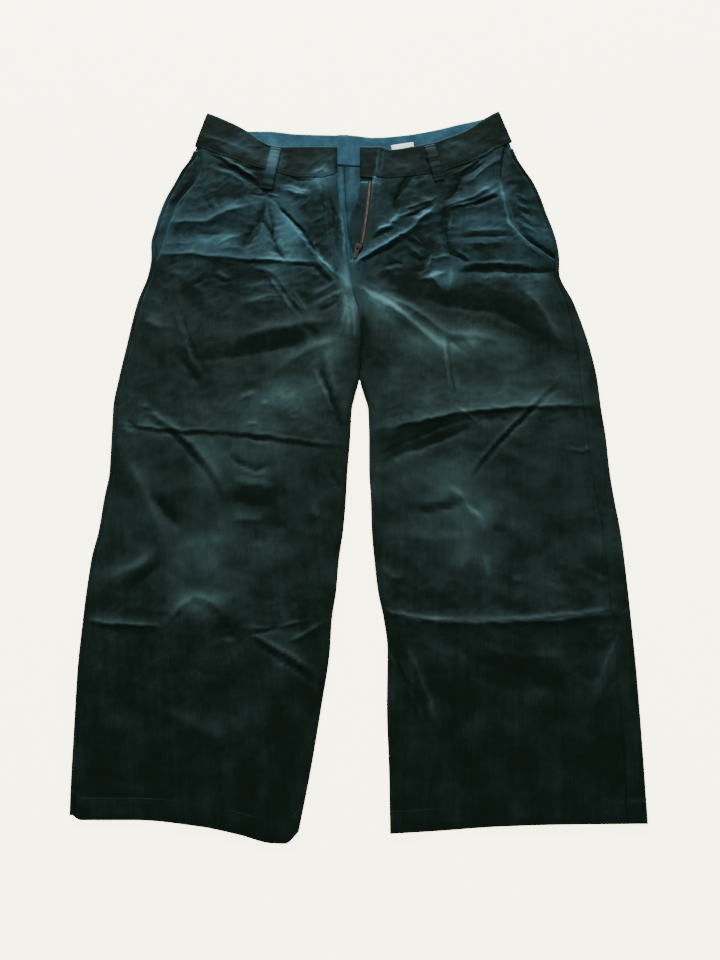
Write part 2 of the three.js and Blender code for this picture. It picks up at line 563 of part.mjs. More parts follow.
// Zip: a tape on each side of the opening, the chain at its edge, and the slider at the bottom.
function zipStrip(name, colour, side, offsets, base, thick) {
  const sign = -away(side);
  const grid = (rise) => range(9).map((climb) => offsets.map((offset) => {
    const y = mix(ZIP_BOTTOM_Y, ZIP_TOP_Y, climb);
    const x = read(INNER, 'y', side, y) + sign * offset;
    return new THREE.Vector3(x, y, base(x, y) + rise);
  }));
  return wall(name, colour, grid(thick), grid(0));
}
function zip() {
  const onShield = () => SHIELD_TOP + SEAM;
  const onTape = () => SHIELD_TOP + SEAM + TAPE + CHAIN_CLEAR;
  const underFront = (x, y) => layHeight(x, y, 'right') - CLOTH - SEAM - TAPE_EASE - TAPE;
  const chain = [CHAIN_EDGE, CHAIN_EDGE + CHAIN_WIDTH];
  const tape = [CHAIN_EDGE - TAPE_PROUD, CHAIN_EDGE - TAPE_PROUD + TAPE_WIDTH];
  return [
    zipStrip('zip_tape_left', 'tape', 'left', tape, onShield, TAPE),
    zipStrip('zip_chain_left', 'metal', 'left', chain, onTape, CHAIN_HEIGHT),
    zipStrip('zip_tape_right', 'tape', 'right', RIGHT_TAPE, underFront, TAPE),
  ];
}

// Slider: two plates on a web, and on top a bail that the pull tab's eye hangs in.
const SLIDER_TOP = SLIDER.base + 2 * SLIDER.plate + SLIDER.web;
const PULL_AXIS_Z = SLIDER_TOP + BAIL.hole / 2;

function outlineShape(points) {
  return new THREE.Shape(points.map(([x, y]) => new THREE.Vector2(x, y)));
}

function slider() {
  const [half, web] = [SLIDER.width / 2, SLIDER.webWidth / 2];
  const [low, high] = [SLIDER.plate, SLIDER.plate + SLIDER.web];
  const top = high + SLIDER.plate;
  const section = outlineShape([[-half, 0], [half, 0], [half, low], [web, low], [web, high], [half, high],
    [half, top], [-half, top], [-half, high], [-web, high], [-web, low], [-half, low]]);
  const body = new THREE.ExtrudeGeometry(section, { depth: SLIDER.length, bevelEnabled: false });
  body.translate(0, 0, -SLIDER.length / 2).rotateX(Math.PI / 2).translate(0, 0, SLIDER.base);
  const [reach, inside] = [BAIL.length / 2, BAIL.length / 2 - BAIL.leg];
  const [roof, sunk] = [BAIL.hole + BAIL.roof, -SLIDER.plate / 2];
  const arch = outlineShape([[-reach, sunk], [-inside, sunk], [-inside, BAIL.hole], [inside, BAIL.hole],
    [inside, sunk], [reach, sunk], [reach, roof], [-reach, roof]]);
  const bail = new THREE.ExtrudeGeometry(arch, { depth: BAIL.width, bevelEnabled: false });
  bail.translate(0, 0, -BAIL.width / 2).rotateX(Math.PI / 2).rotateZ(Math.PI / 2);
  bail.translate(0, 0, SLIDER_TOP);
  const mesh = solid('zip_slider', 'metal', joined(body, bail));
  mesh.rotation.z = PULL.turn;
  mesh.position.set(SLIDER.x, SLIDER.y, 0);
  return mesh;
}

// Pull tab: an eye whose bar lies in the bail, and a plate that widens to a round end.
function pullTab() {
  const [half, end] = [PULL.eyeWidth / 2 + PULL.rim, PULL.endWidth / 2];
  const eyeEnd = -PULL.bar / 2 - PULL.eyeLength;
  const plate = new THREE.Shape();
  const neck = eyeEnd - PULL.rim;
  plate.moveTo(-half, PULL.bar / 2);
  plate.lineTo(-half, neck);
  plate.absarc(0, end - PULL.length, end, Math.PI, 2 * Math.PI, false);
  plate.lineTo(half, neck);
  plate.lineTo(half, PULL.bar / 2);
  plate.closePath();
  const [eye, bar] = [PULL.eyeWidth / 2, PULL.bar / 2];
  plate.holes.push(outlineShape([[-eye, -bar], [eye, -bar], [eye, eyeEnd], [-eye, eyeEnd]]));
  const flat = { depth: PULL.thick, bevelEnabled: false, curveSegments: 10 };
  const geometry = new THREE.ExtrudeGeometry(plate, flat);
  geometry.translate(0, 0, -PULL.thick / 2);
  const mesh = solid('zip_pull', 'metal', geometry);
  mesh.rotation.z = PULL.turn;
  mesh.position.set(SLIDER.x, SLIDER.y, PULL_AXIS_Z);
  return mesh;
}

// Two closed shapes joined into one body.
function joined(...shapes) {
  const bodies = shapes.map((shape) => {
    const bare = shape.clone();
    ['normal', 'uv'].forEach((name) => bare.deleteAttribute(name));
    const merged = mergeVertices(bare, 1e-4);
    return new wasm.Manifold(new wasm.Mesh({
      numProp: 3, vertProperties: merged.attributes.position.array, triVerts: merged.index.array,
    }));
  });
  const mesh = bodies.reduce((whole, body) => whole.add(body)).getMesh();
  const geometry = new THREE.BufferGeometry();
  geometry.setAttribute('position', new THREE.BufferAttribute(mesh.vertProperties, mesh.numProp));
  geometry.setIndex(new THREE.BufferAttribute(mesh.triVerts, 1));
  geometry.computeVertexNormals();
  return geometry;
}

// Blank woven label on the facing of the back band, half under the front.
function blankLabel() {
  const mesh = solid('label_blank', 'label', new THREE.BoxGeometry(LABEL.width, LABEL.height, LABEL.thick));
  mesh.rotation.z = LABEL.turn;
  mesh.position.set(LABEL.x, LABEL.y, BAND_BACK_TOP + SEAM + LABEL.thick / 2);
  return mesh;
}

const group = new THREE.Group();
const fronts = { right: frontPanel('right'), left: frontPanel('left') };
['right', 'left'].forEach((side) => group.add(fronts[side], backPanel(side), pocketFacing(side)));
group.add(waistbandFront('right', BAND_RIGHT, fronts.right));
group.add(waistbandFront('left', BAND_LEFT, fronts.left));
group.add(waistbandBack());
group.add(frontLoop('right', BAND_RIGHT, [-107, 408], [-117, 347]));
group.add(frontLoop('left', BAND_LEFT, [92, 412], [104, 360]), backLoop());
group.add(flyShield(), ...zip(), slider(), pullTab(), blankLabel());

// The origin is under the middle of the lay, on the table.
const box = new THREE.Box3().setFromObject(group);
group.position.set(-(box.min.x + box.max.x) / 2, -(box.min.y + box.max.y) / 2, -box.min.z);
group.updateMatrixWorld(true);

export default group;
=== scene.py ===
"""Corduroy trousers lying flat with the fly open: cloth, stitching, zip and their finishes."""

import logging
import math
from dataclasses import dataclass
from enum import Enum
from typing import Any, Callable, Union

import bmesh
import bpy
import numpy as np
from mathutils import Matrix, Vector, noise

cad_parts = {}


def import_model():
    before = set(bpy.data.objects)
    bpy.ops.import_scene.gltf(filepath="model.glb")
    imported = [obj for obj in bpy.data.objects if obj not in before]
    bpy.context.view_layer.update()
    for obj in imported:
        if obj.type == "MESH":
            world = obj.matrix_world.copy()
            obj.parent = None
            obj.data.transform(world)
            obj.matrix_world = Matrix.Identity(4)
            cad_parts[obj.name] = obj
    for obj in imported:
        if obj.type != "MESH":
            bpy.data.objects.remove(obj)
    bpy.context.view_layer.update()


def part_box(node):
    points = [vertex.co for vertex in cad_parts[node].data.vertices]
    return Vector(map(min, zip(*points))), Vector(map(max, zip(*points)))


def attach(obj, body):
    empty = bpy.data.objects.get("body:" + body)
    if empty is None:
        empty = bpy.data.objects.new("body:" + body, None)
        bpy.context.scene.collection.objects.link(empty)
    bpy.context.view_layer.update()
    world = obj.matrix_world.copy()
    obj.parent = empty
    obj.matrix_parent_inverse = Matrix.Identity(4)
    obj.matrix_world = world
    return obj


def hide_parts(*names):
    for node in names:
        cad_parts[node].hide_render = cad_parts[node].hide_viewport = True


LOG = logging.getLogger("trousers")
MM = 0.001
BODY = "trousers"
PULL_BODY = "pull_tab"
# Angles of the wales on the right and left leg from straight up the trousers, in radians.
WALES = (0.10, -0.045)
ACROSS = math.pi / 2

Colour = tuple[float, float, float]
Edge = Callable[[np.ndarray], np.ndarray]
Points = tuple[np.ndarray, np.ndarray, np.ndarray]
Value = Union[float, bpy.types.NodeSocket]


class Side(Enum):
    """The wearer's right or left side; the value points from the outer edge towards the middle."""

    RIGHT = 1
    LEFT = -1

    @property
    def word(self) -> str:
        """Name of the side as nodes and table columns use it."""
        return self.name.lower()

    def pick(self, right: Any, left: Any) -> Any:
        """The one of two values that belongs to this side."""
        return right if self is Side.RIGHT else left


class Slot(Enum):
    """The record's material slots."""

    CORDUROY = "corduroy"
    FACING = "facing"
    ZIP_TAPE = "zip_tape"
    ZIP_METAL = "zip_metal"
    LABEL = "label"


def smooth(value: np.ndarray) -> np.ndarray:
    """Soft step from 0 to 1 as the value goes from 0 to 1."""
    t = np.clip(value, 0, 1)
    return t * t * (3 - 2 * t)


def mix(start: np.ndarray, end: np.ndarray, share: np.ndarray) -> np.ndarray:
    """Value between two others."""
    return start + (end - start) * share


@dataclass(frozen=True)
class Dip:
    """A groove along a row of stitching: its depth and width in mm."""

    depth: float
    width: float

    def at(self, distance: np.ndarray) -> np.ndarray:
        """Depth of the groove at distances from the row."""
        return self.depth * np.exp(-((distance / self.width) ** 2))


@dataclass(frozen=True)
class Turn:
    """A turned edge: how far it drops, and over what width, in mm."""

    drop: float
    width: float

    def at(self, distance: np.ndarray) -> np.ndarray:
        """How far the cloth has dropped at distances inside the edge."""
        return self.drop * (1 - smooth(distance / self.width))


@dataclass(frozen=True)
class Ripple:
    """Soft uneven waves between about -1 and 1: their length in mm and the pattern's number."""

    size: float
    seed: float

    def at(self, x: np.ndarray, y: np.ndarray) -> np.ndarray:
        """Height of the waves at some places."""
        return np.array([noise.noise((a / self.size, b / self.size, self.seed)) for a, b in zip(x, y)])


@dataclass(frozen=True)
class Table:
    """A short table with named columns, read along its first one."""

    columns: tuple[str, ...]
    rows: tuple[tuple[float, ...], ...]

    def read(self, column: str, at: np.ndarray) -> np.ndarray:
        """Reads a column along a smooth curve that never overshoots its rows.

        Args:
            column: Name of the column.
            at: Values of the first column.

        Returns:
            The column's values there.
        """
        data = np.array(self.rows, float)
        keys, values = data[:, 0], data[:, self.columns.index(column)]
        at = np.clip(at, keys[0], keys[-1])
        i = np.clip(np.searchsorted(keys, at, side="right") - 1, 0, len(keys) - 2)
        span = np.diff(keys)
        secant = np.diff(values) / span
        slope = np.concatenate([secant[:1], np.zeros(len(keys) - 2), secant[-1:]])
        product = secant[:-1] * secant[1:]
        total = np.where(product > 0, secant[:-1] + secant[1:], 1.0)
        slope[1:-1] = np.where(product > 0, 2 * product / total, 0.0)
        t = (at - keys[i]) / span[i]
        bend = span[i] * t * (1 - t) * ((1 - t) * slope[i] - t * slope[i + 1])
        return values[i] + (values[i + 1] - values[i]) * smooth(t) + bend


@dataclass(frozen=True)
class Section:
    """What all folds share: a soft swell under a keen crest, and ends that run out."""

    breadth: float = 0.9
    power: float = 1.6
    keen_share: float = 0.66
    keen_width: float = 0.42
    keen_round: float = 0.6
    reach: float = 3
    run_out: float = 0.3
    end: float = 0.12

    def height(self, distance: np.ndarray, width: np.ndarray) -> np.ndarray:
        """Share of the rise at distances from the crest, for a fold of some width.

        Args:
            distance: Distances from the crest, in mm.
            width: Width of the fold there, in mm.

        Returns:
            The share there.
        """
        width = self.breadth * width
        soft = np.exp(-((distance / width) ** self.power))
        keen = np.exp(-np.hypot(distance, self.keen_round) / (width * self.keen_width))
        return mix(soft, keen, self.keen_share)

    def ends(self, share: np.ndarray) -> np.ndarray:
        """Share of the rise at shares of the path's length from its nearer end."""
        return mix(self.end, 1, smooth(share / self.run_out))


SECTION = Section()


@dataclass(frozen=True)
class Fold:
    """One crease: its rise in mm, its width to the left and right of its path, and the path."""

    rise: float
    left: float
    right: float
    path: tuple[tuple[float, float], ...]

    def lift(self, x: np.ndarray, y: np.ndarray) -> np.ndarray:
        """How far the fold raises the cloth at some points.

        Args:
            x: Places across, in mm.
            y: Places along, in mm.

        Returns:
            The rise there, in mm.
        """
        out = np.zeros_like(x)
        reach = SECTION.reach * max(self.left, self.right)
        spots = np.array(self.path)
        (low_x, low_y), (high_x, high_y) = spots.min(0) - reach, spots.max(0) + reach
        near = (x > low_x) & (x < high_x) & (y > low_y) & (y < high_y)
        if not near.any():
            return out
        px, py = x[near], y[near]
        best = np.full(px.shape, np.inf)
        along, side, travelled = np.zeros_like(px), np.zeros_like(px), 0.0
        for (ax, ay), (bx, by) in zip(self.path[:-1], self.path[1:]):
            dx, dy = bx - ax, by - ay
            length = math.hypot(dx, dy)
            share = np.clip(((px - ax) * dx + (py - ay) * dy) / length**2, 0, 1)
            distance = np.hypot(px - ax - share * dx, py - ay - share * dy)
            closer = distance < best
            best = np.where(closer, distance, best)
            along = np.where(closer, travelled + share * length, along)
            side = np.where(closer, dx * (py - ay) - dy * (px - ax), side)
            travelled += length
        run_out = SECTION.ends(np.minimum(along, travelled - along) / travelled)
        width = np.where(side > 0, self.left, self.right)
        out[near] = self.rise * run_out * SECTION.height(best, width)
        return out


@dataclass(frozen=True)
class Folds:
    """Creases that wander a little off their paths, as real ones do.

    Paths are given where the camera sees them against the table. The cloth lies higher, so on it
    they move a little towards the point under the camera's eye.
    """

    creases: tuple[Fold, ...]
    wander: float = 1.6
    wander_x: Ripple = Ripple(17, 9.1)
    wander_y: Ripple = Ripple(17, 4.9)
    jitter: float = 1.3
    jitter_x: Ripple = Ripple(17 / 3, 2.7)
    jitter_y: Ripple = Ripple(17 / 3, 7.3)
    raised: float = 0.0055
    eye: tuple[float, float] = (2.0, -426.0)

    def lift(self, x: np.ndarray, y: np.ndarray) -> np.ndarray:
        """How far all the creases together raise the cloth.

        Args:
            x: Places across, in mm.
            y: Places along, in mm.

        Returns:
            The rise there, in mm.
        """
        if not self.creases:
            return np.zeros_like(x)
        near_x = x + (x - self.eye[0]) * self.raised + self.wander * self.wander_x.at(x, y)
        near_y = y + (y - self.eye[1]) * self.raised + self.wander * self.wander_y.at(x, y)
        near_x = near_x + self.jitter * self.jitter_x.at(x, y)
        near_y = near_y + self.jitter * self.jitter_y.at(x, y)
        return sum((fold.lift(near_x, near_y) for fold in self.creases), np.zeros_like(x))


OUTLINE = Table(("y", "right", "left"), (
    (-460, -324, 326), (-377, -326, 325), (-275, -326, 323), (-205, -323, 320),
    (-133, -317, 316), (-97, -310, 313), (-60, -306, 308), (-22, -301, 304), (16, -301, 302),
    (54, -301, 298), (93, -296, 295), (133, -289, 288), (193, -278, 271), (236, -265, 254),
    (254, -263, 255), (275, -264, 253), (296, -260, 248), (317, -255, 241), (338, -248, 235),
    (361, -237, 226), (378, -229, 216), (396, -218, 206), (414, -213, 200), (430, -212, 195),
    (448, -206, 189), (464, -198, 184),
))
INNER = Table(("y", "right", "left"), (
    (-460, -70, 36), (-377, -54, 35), (-309, -43, 33), (-240, -33, 34), (-205, -31, 30),
    (-170, -26, 23), (-133, -23, 19), (-97, -18, 16), (-60, -15, 15), (-22, -13, 13),
    (16, -10, 13), (54, -8, 12), (73, -4, 7), (92, 0.6, 2.4), (112, 2.4, 3.2), (133, 4, 4.3),
    (180, 0, 0.3), (213, -8, -7.7), (232, -10.4, -10.1), (247, -12, -11.7), (264, -14.5, 5),
    (303, -17, 12), (338, -26, 16), (372, -28, 19), (420, -28, 25),
))
CENTRE_BACK = Table(("y", "x"), (
    (92, 1), (133, 4), (180, 0), (247, -8), (330, -16), (420, -20),
))
POCKET = Table(("y", "right", "left"), (
    (252, -256, 249), (265, -251, 232), (278, -248, 214), (293, -244, 201), (310, -239, 193),
    (327, -234, 190), (345, -222, 187), (364, -209, 183), (385, -204, 185), (414, -206, 190),
))
SIDE_WRAP = Table(("y", "right", "left"), (
    (-460, 3, 20), (60, 3, 20), (190, 3, 9), (250, 3, 3), (420, 3, 3),
))
HEM_RIGHT = Table(("x", "y"), (
    (-326, -424), (-311, -432), (-251, -432), (-178, -439), (-133, -448), (-97, -457),
    (-82, -457.5), (-66, -444),
))
HEM_LEFT = Table(("x", "y"), ((34, -447), (85, -444), (160, -439), (227, -437), (327, -436)))
STATION = ("x", "y", "topX", "topY")
BAND_RIGHT = Table(STATION, (
    (-213, 413, -198, 461), (-197, 406, -182, 454), (-175, 396, -162, 444),
    (-155, 389, -145, 434), (-140, 382, -128, 421), (-120, 376, -112, 413),
    (-98, 370, -92, 411), (-76, 365, -72, 412), (-50, 365, -49, 412), (-28, 371, -28, 412),
))
BAND_LEFT = Table(STATION, (
    (2, 368, 2, 412), (20, 366, 24, 412), (40, 364, 43, 407), (68, 367, 68, 411),
    (90, 370, 88, 415), (108, 372, 105, 420), (118, 377, 114, 424), (140, 385, 134, 432),
    (155, 392, 148, 440), (180, 408, 166, 453), (200, 419, 184, 464),
))
BAND_BACK = Table(STATION, (
    (-213, 406, -199, 458), (-170, 399, -165, 440), (-140, 393, -138, 436),
    (-120, 391, -119, 436), (-80, 388, -80, 432), (-27, 387, -27, 430.5),
    (-13, 386, -13, 430.5), (20, 384, 20, 427), (60, 386, 58, 430), (100, 394, 97, 437),
    (140, 402, 135, 447), (170, 406, 160, 453), (200, 409, 184.5, 461),
))
BODY_HEIGHT = Table(("y", "height"), (
    (-460, 6.4), (-400, 6.3), (-220, 6.6), (-60, 7), (60, 7.6), (160, 8.2), (260, 9),
    (350, 9.6), (420, 9),
))
INNER_EDGE = Table(("y", "right", "left", "round"), (
    (-460, 4.4, 4.4, 9), (-430, 3.6, 3.6, 9), (60, 3.4, 3.4, 9), (140, 3.4, 3.4, 13),
    (230, 3.6, 3.6, 13), (252, 5.2, 5.2, 14), (272, 6.2, 7.8, 14), (420, 6.6, 7.8, 14),
))
SHIELD = Table(("y", "x"), ((262, -7), (290, -11), (315, -9), (338, -1), (362, 3)))
# Rows of a panel: closest over the hips, close at the storage creases.
ROW_PLAN = Table(("share", "y"), (
    (0, -440), (0.145, -235), (0.215, -185), (0.357, 0), (0.472, 75), (0.6, 200), (1, 385),
))


def folds(rows: tuple) -> Folds:
    """Makes folds from rows of rise, left width, right width and path."""
    return Folds(tuple(Fold(*row) for row in rows))


MAIN_FOLDS = folds((
    # storage creases across both legs, at hip, thigh and calf
    (3.0, 14, 6, ((-275, 262), (-215, 262), (-185, 258), (-145, 254), (-100, 251), (-45, 249))),
    (-3.6, 7, 12, ((118, 236), (150, 240), (200, 238), (266, 240))),
    (-1.5, 4, 10, ((-312, 36), (-250, 27), (-219, 24), (-160, 22), (-105, 16), (-60, 9), (-8, 2))),
    (3.2, 12, 5, ((14, 27), (60, 36), (90, 43), (125, 50), (160, 54), (202, 58), (250, 60), (308, 60))),
    (2.0, 10, 8, ((-330, -204), (-270, -210), (-228, -213))),
    (2.2, 12, 7, ((-228, -213), (-210, -190), (-193, -178), (-172, -184), (-158, -205))),
    (-3.0, 10, 10, ((-152, -206), (-150, -232))),
    (2.4, 4, 3, ((-133, -216), (-116, -227), (-79, -248), (-42, -274))),
    (2.8, 12, 7, ((16, -192), (60, -204), (119, -210), (155, -208), (235, -206), (284, -199),
                  (332, -196))),
    # wearer's right: pleat below the belt loop and the folds around it
    (-3.6, 6, 8, ((-112, 340), (-88, 312), (-65, 288), (-52, 262), (-45, 244))),
    (3.2, 6, 10, ((-108, 332), (-85, 302), (-65, 275), (-50, 250), (-38, 235), (-26, 220))),
    (-2.6, 7, 7, ((-120, 338), (-126, 315), (-135, 295), (-145, 275), (-148, 252))),
    (-2.8, 7, 7, ((-122, 310), (-112, 292), (-110, 272), (-98, 258), (-86, 244))),
    (-2.8, 6, 8, ((-188, 391), (-165, 381), (-140, 364), (-118, 349))),
    (3.0, 11, 9, ((-262, 309), (-225, 306), (-195, 307), (-170, 320), (-145, 329), (-128, 332))),
    (2.8, 7, 6, ((-120, 246), (-105, 230), (-88, 203), (-64, 176))),
    # wearer's right: thigh and knee
    (2.8, 16, 12, ((-155, 148), (-110, 159), (-62, 169), (-26, 172))),
    (-3.2, 15, 15, ((-212, 120), (-160, 124), (-110, 133), (-45, 150))),
    (2.4, 14, 14, ((-110, 96), (-80, 122), (-45, 140), (-16, 150))),
    (-2.6, 7, 7, ((-222, 124), (-208, 105), (-197, 86))),
    (2.0, 8, 8, ((-233, 224), (-222, 180), (-213, 148), (-206, 124))),
    (2.2, 7, 4, ((-267, 57), (-219, 25), (-188, -7), (-170, -34), (-156, -61))),
    (-2.4, 14, 14, ((-156, -58), (-125, -65), (-96, -68))),
    (2.2, 10, 10, ((-282, -8), (-262, -42), (-247, -75), (-231, -114))),
    (-2.2, 9, 9, ((-252, -50), (-232, -76), (-208, -98))),
    # wearer's left: folds that run from the crotch, and the pleat
    (3.8, 8, 10, ((-10, 246), (10, 261), (40, 278), (65, 294), (85, 315), (112, 331))),
    (4.0, 9, 11, ((-2, 218), (20, 206), (40, 191), (60, 175), (80, 157), (112, 128))),
    (2.6, 10, 9, ((20, 213), (60, 192), (90, 172), (112, 153), (150, 150), (196, 141))),
    (-3.6, 24, 24, ((50, 212), (110, 192), (175, 184), (238, 140))),
    (2.4, 11, 11, ((200, 222), (228, 190), (243, 160), (260, 124))),
    (3.0, 12, 9, ((88, 236), (104, 216), (111, 196))),
    (3.2, 9, 7, ((108, 327), (130, 334), (150, 342), (165, 352), (180, 362))),
    (-3.2, 7, 7, ((109, 330), (112, 312), (110, 290), (114, 266), (128, 252))),
    (-2.4, 7, 7, ((112, 344), (126, 351), (134, 370), (153, 384), (166, 391))),
    # wearer's left: thigh and knee
    (2.4, 7, 7, ((108, 134), (113, 115), (119, 92), (124, 60))),
    (-2.2, 3, 6, ((254, 93), (215, 54), (175, 14), (150, -16), (128, -44))),
    (2.4, 4, 3, ((242, 90), (210, 57), (170, 17), (146, -14), (123, -46))),
    (-2.4, 7, 18, ((148, 38), (100, 14), (55, 0), (20, -20))),
    (2.2, 8, 8, ((102, -46), (122, -56), (138, -75), (158, -87))),
    (1.5, 11, 11, ((44, -245), (69, -310))),
    (1.5, 11, 11, ((308, -226), (292, -268), (266, -312))),
))
FINE_FOLDS = folds((
    # wearer's right, waist to hip
    (1.8, 6, 5, ((-100, 352), (-75, 347), (-62, 342))),
    (-1.4, 4, 4, ((-50, 348), (-45, 330), (-40, 314))),
    (-1.4, 4, 4, ((-38, 345), (-33, 325), (-25, 310))),
    (1.2, 4, 4, ((-22, 345), (-25, 325), (-20, 305), (-17, 280), (-15, 260))),
    (-1.4, 4, 4, ((-198, 348), (-195, 335), (-187, 320))),
    (-1.2, 4, 4, ((-184, 348), (-178, 330), (-174, 318))),
    (1.5, 5, 5, ((-196, 387), (-165, 374), (-140, 356))),
    (1.4, 5, 5, ((-178, 396), (-150, 382), (-125, 362))),
    (-1.6, 12, 12, ((-210, 290), (-170, 290))),
    (1.0, 14, 12, ((-180, 272), (-150, 270))),
    (-1.6, 4, 4, ((-192, 238), (-200, 225), (-210, 218))),
    (1.6, 5, 5, ((-180, 236), (-160, 225))),
    (1.2, 5, 5, ((-135, 244), (-112, 238), (-96, 241))),
    (1.0, 8, 8, ((-155, 214), (-118, 221), (-92, 218))),
    (1.0, 7, 7, ((-150, 196), (-108, 200), (-74, 190))),
    (-1.4, 5, 5, ((-72, 168), (-58, 158), (-50, 142))),
    (1.4, 6, 6, ((-60, 206), (-42, 214), (-24, 226))),
    (1.4, 5, 5, ((-20, 214), (-14, 192), (-12, 168), (-14, 140))),
    (-1.2, 4, 4, ((-26, 200), (-22, 178), (-22, 150))),
    # wearer's right, thigh to knee
    (1.6, 6, 6, ((-270, 178), (-255, 168), (-240, 162))),
    (-2.0, 6, 6, ((-48, 135), (-42, 100), (-33, 65), (-22, 35), (-18, 15))),
    (1.2, 6, 6, ((-40, 136), (-34, 100), (-26, 66))),
    (1.4, 5, 7, ((-150, 65), (-125, 80))),
    (1.2, 5, 5, ((-120, 62), (-110, 62))),
    (1.2, 5, 5, ((-137, 38), (-122, 36))),
    (1.6, 6, 5, ((-270, 65), (-255, 53), (-235, 38))),
    (-1.4, 4, 4, ((-265, 57), (-250, 50))),
    (1.4, 5, 5, ((-290, 35), (-275, 22))),
    (-1.6, 4, 4, ((-286, 42), (-270, 30))),
    (-2.0, 3, 4, ((-268, 51), (-223, 19), (-193, -12), (-175, -38), (-161, -64))),
    (1.5, 2.5, 2.5, ((-302, 39), (-250, 32), (-219, 29), (-160, 27))),
    (1.5, 2.5, 2.5, ((-160, 27), (-105, 21), (-60, 14), (-13, 8))),
    (-1.8, 3, 3, ((-138, 22), (-124, 16), (-110, 15))),
    (2.0, 10, 8, ((-155, -32), (-120, -40), (-95, -45))),
    (-2.0, 6, 6, ((-158, 2), (-145, -14), (-125, -22), (-102, -16))),
    (1.4, 6, 6, ((-150, -18), (-130, -25), (-100, -30))),
    (1.6, 7, 5, ((-155, -83), (-110, -82))),
    (1.4, 5, 5, ((-175, -105), (-165, -118))),
    (1.2, 5, 5, ((-205, -115), (-195, -118))),
    (1.2, 5, 5, ((-124, -113), (-112, -117))),
    (2.0, 14, 14, ((-300, -155), (-265, -142), (-238, -122))),
    (-1.5, 12, 12, ((-275, -172), (-250, -150), (-232, -135))),
    (-1.2, 4, 4, ((-100, -90), (-85, -94))),
    (1.2, 5, 5, ((-58, -70), (-46, -82))),
    (-1.4, 4, 4, ((-33, -20), (-27, -35), (-20, -48))),
    # wearer's right, calf
    (1.8, 3, 4, ((-84, -232), (-62, -221), (-40, -208))),
    (-1.6, 4, 4, ((-133, -224), (-86, -211))),
    (-2.4, 3, 5, ((-124, -229), (-84, -254), (-46, -281))),
    (1.4, 2.5, 2.5, ((-328, -206), (-270, -211), (-232, -212))),
    (1.3, 2.5, 2.5, ((-140, -214), (-100, -214), (-52, -205))),
    (1.0, 16, 16, ((-240, -300), (-180, -330), (-140, -345))),
    (-0.9, 14, 14, ((-250, -268), (-190, -262), (-150, -278))),
    # wearer's left, waist to hip
    (2.5, 5, 5, ((20, 290), (30, 298), (42, 302), (50, 318))),
    (1.8, 6, 5, ((72, 305), (95, 322))),
    (1.8, 6, 5, ((55, 323), (75, 330), (105, 343))),
    (-2.2, 6, 7, ((85, 370), (68, 366), (57, 352), (50, 340), (48, 325), (45, 315))),
    (1.4, 5, 5, ((50, 318), (45, 305))),
    (-1.8, 6, 6, ((140, 330), (183, 346))),
    (-1.6, 6, 6, ((125, 285), (160, 287), (200, 287))),
    (1.2, 5, 5, ((130, 294), (165, 295), (195, 295))),
    (1.2, 6, 6, ((130, 276), (165, 277), (195, 278))),
    (-1.6, 5, 5, ((125, 262), (140, 250))),
    (1.6, 6, 5, ((143, 370), (165, 390), (190, 402))),
    (1.6, 5, 5, ((178, 360), (184, 350), (188, 335), (190, 318), (193, 305), (205, 290),
                 (222, 270), (240, 254))),
    (-1.2, 5, 5, ((66, 286), (74, 276), (88, 268))),
    (1.2, 5, 5, ((60, 278), (68, 266), (84, 258))),
    (1.4, 6, 5, ((92, 246), (84, 238), (78, 228))),
    (1.6, 6, 6, ((118, 246), (116, 226), (112, 200))),
    # wearer's left, thigh to knee
    (-1.2, 5, 5, ((112, 150), (125, 138), (138, 128))),
    (1.2, 5, 5, ((128, 152), (140, 142), (146, 128))),
    (-2.0, 5, 5, ((68, -74), (90, -71), (110, -68), (128, -60))),
    (1.4, 5, 5, ((70, -64), (92, -61), (110, -58))),
    (1.2, 5, 5, ((105, -42), (120, -50), (132, -64))),
    (1.2, 5, 5, ((140, -84), (152, -92), (150, -104))),
    (-1.4, 4, 4, ((120, -60), (140, -68), (155, -84))),
    (-1.4, 4, 4, ((160, -95), (180, -98))),
    (1.4, 6, 6, ((150, -125), (155, -160))),
    (1.4, 6, 6, ((25, -140), (40, -152), (55, -158))),
    (-1.4, 4, 4, ((280, -138), (292, -155))),
    (1.2, 5, 5, ((180, -160), (195, -155))),
    (1.0, 12, 12, ((40, -100), (90, -108), (140, -104))),
    (-1.0, 8, 8, ((150, 42), (172, 44), (188, 36))),
    # wearer's left, calf
    (1.5, 9, 9, ((50, -230), (68, -262), (83, -298), (94, -338))),
    (-1.2, 8, 8, ((34, -222), (52, -272), (64, -318))),
    (1.2, 12, 12, ((130, -232), (190, -250), (250, -244))),
    (-1.0, 16, 16, ((110, -262), (180, -286), (240, -280))),
))

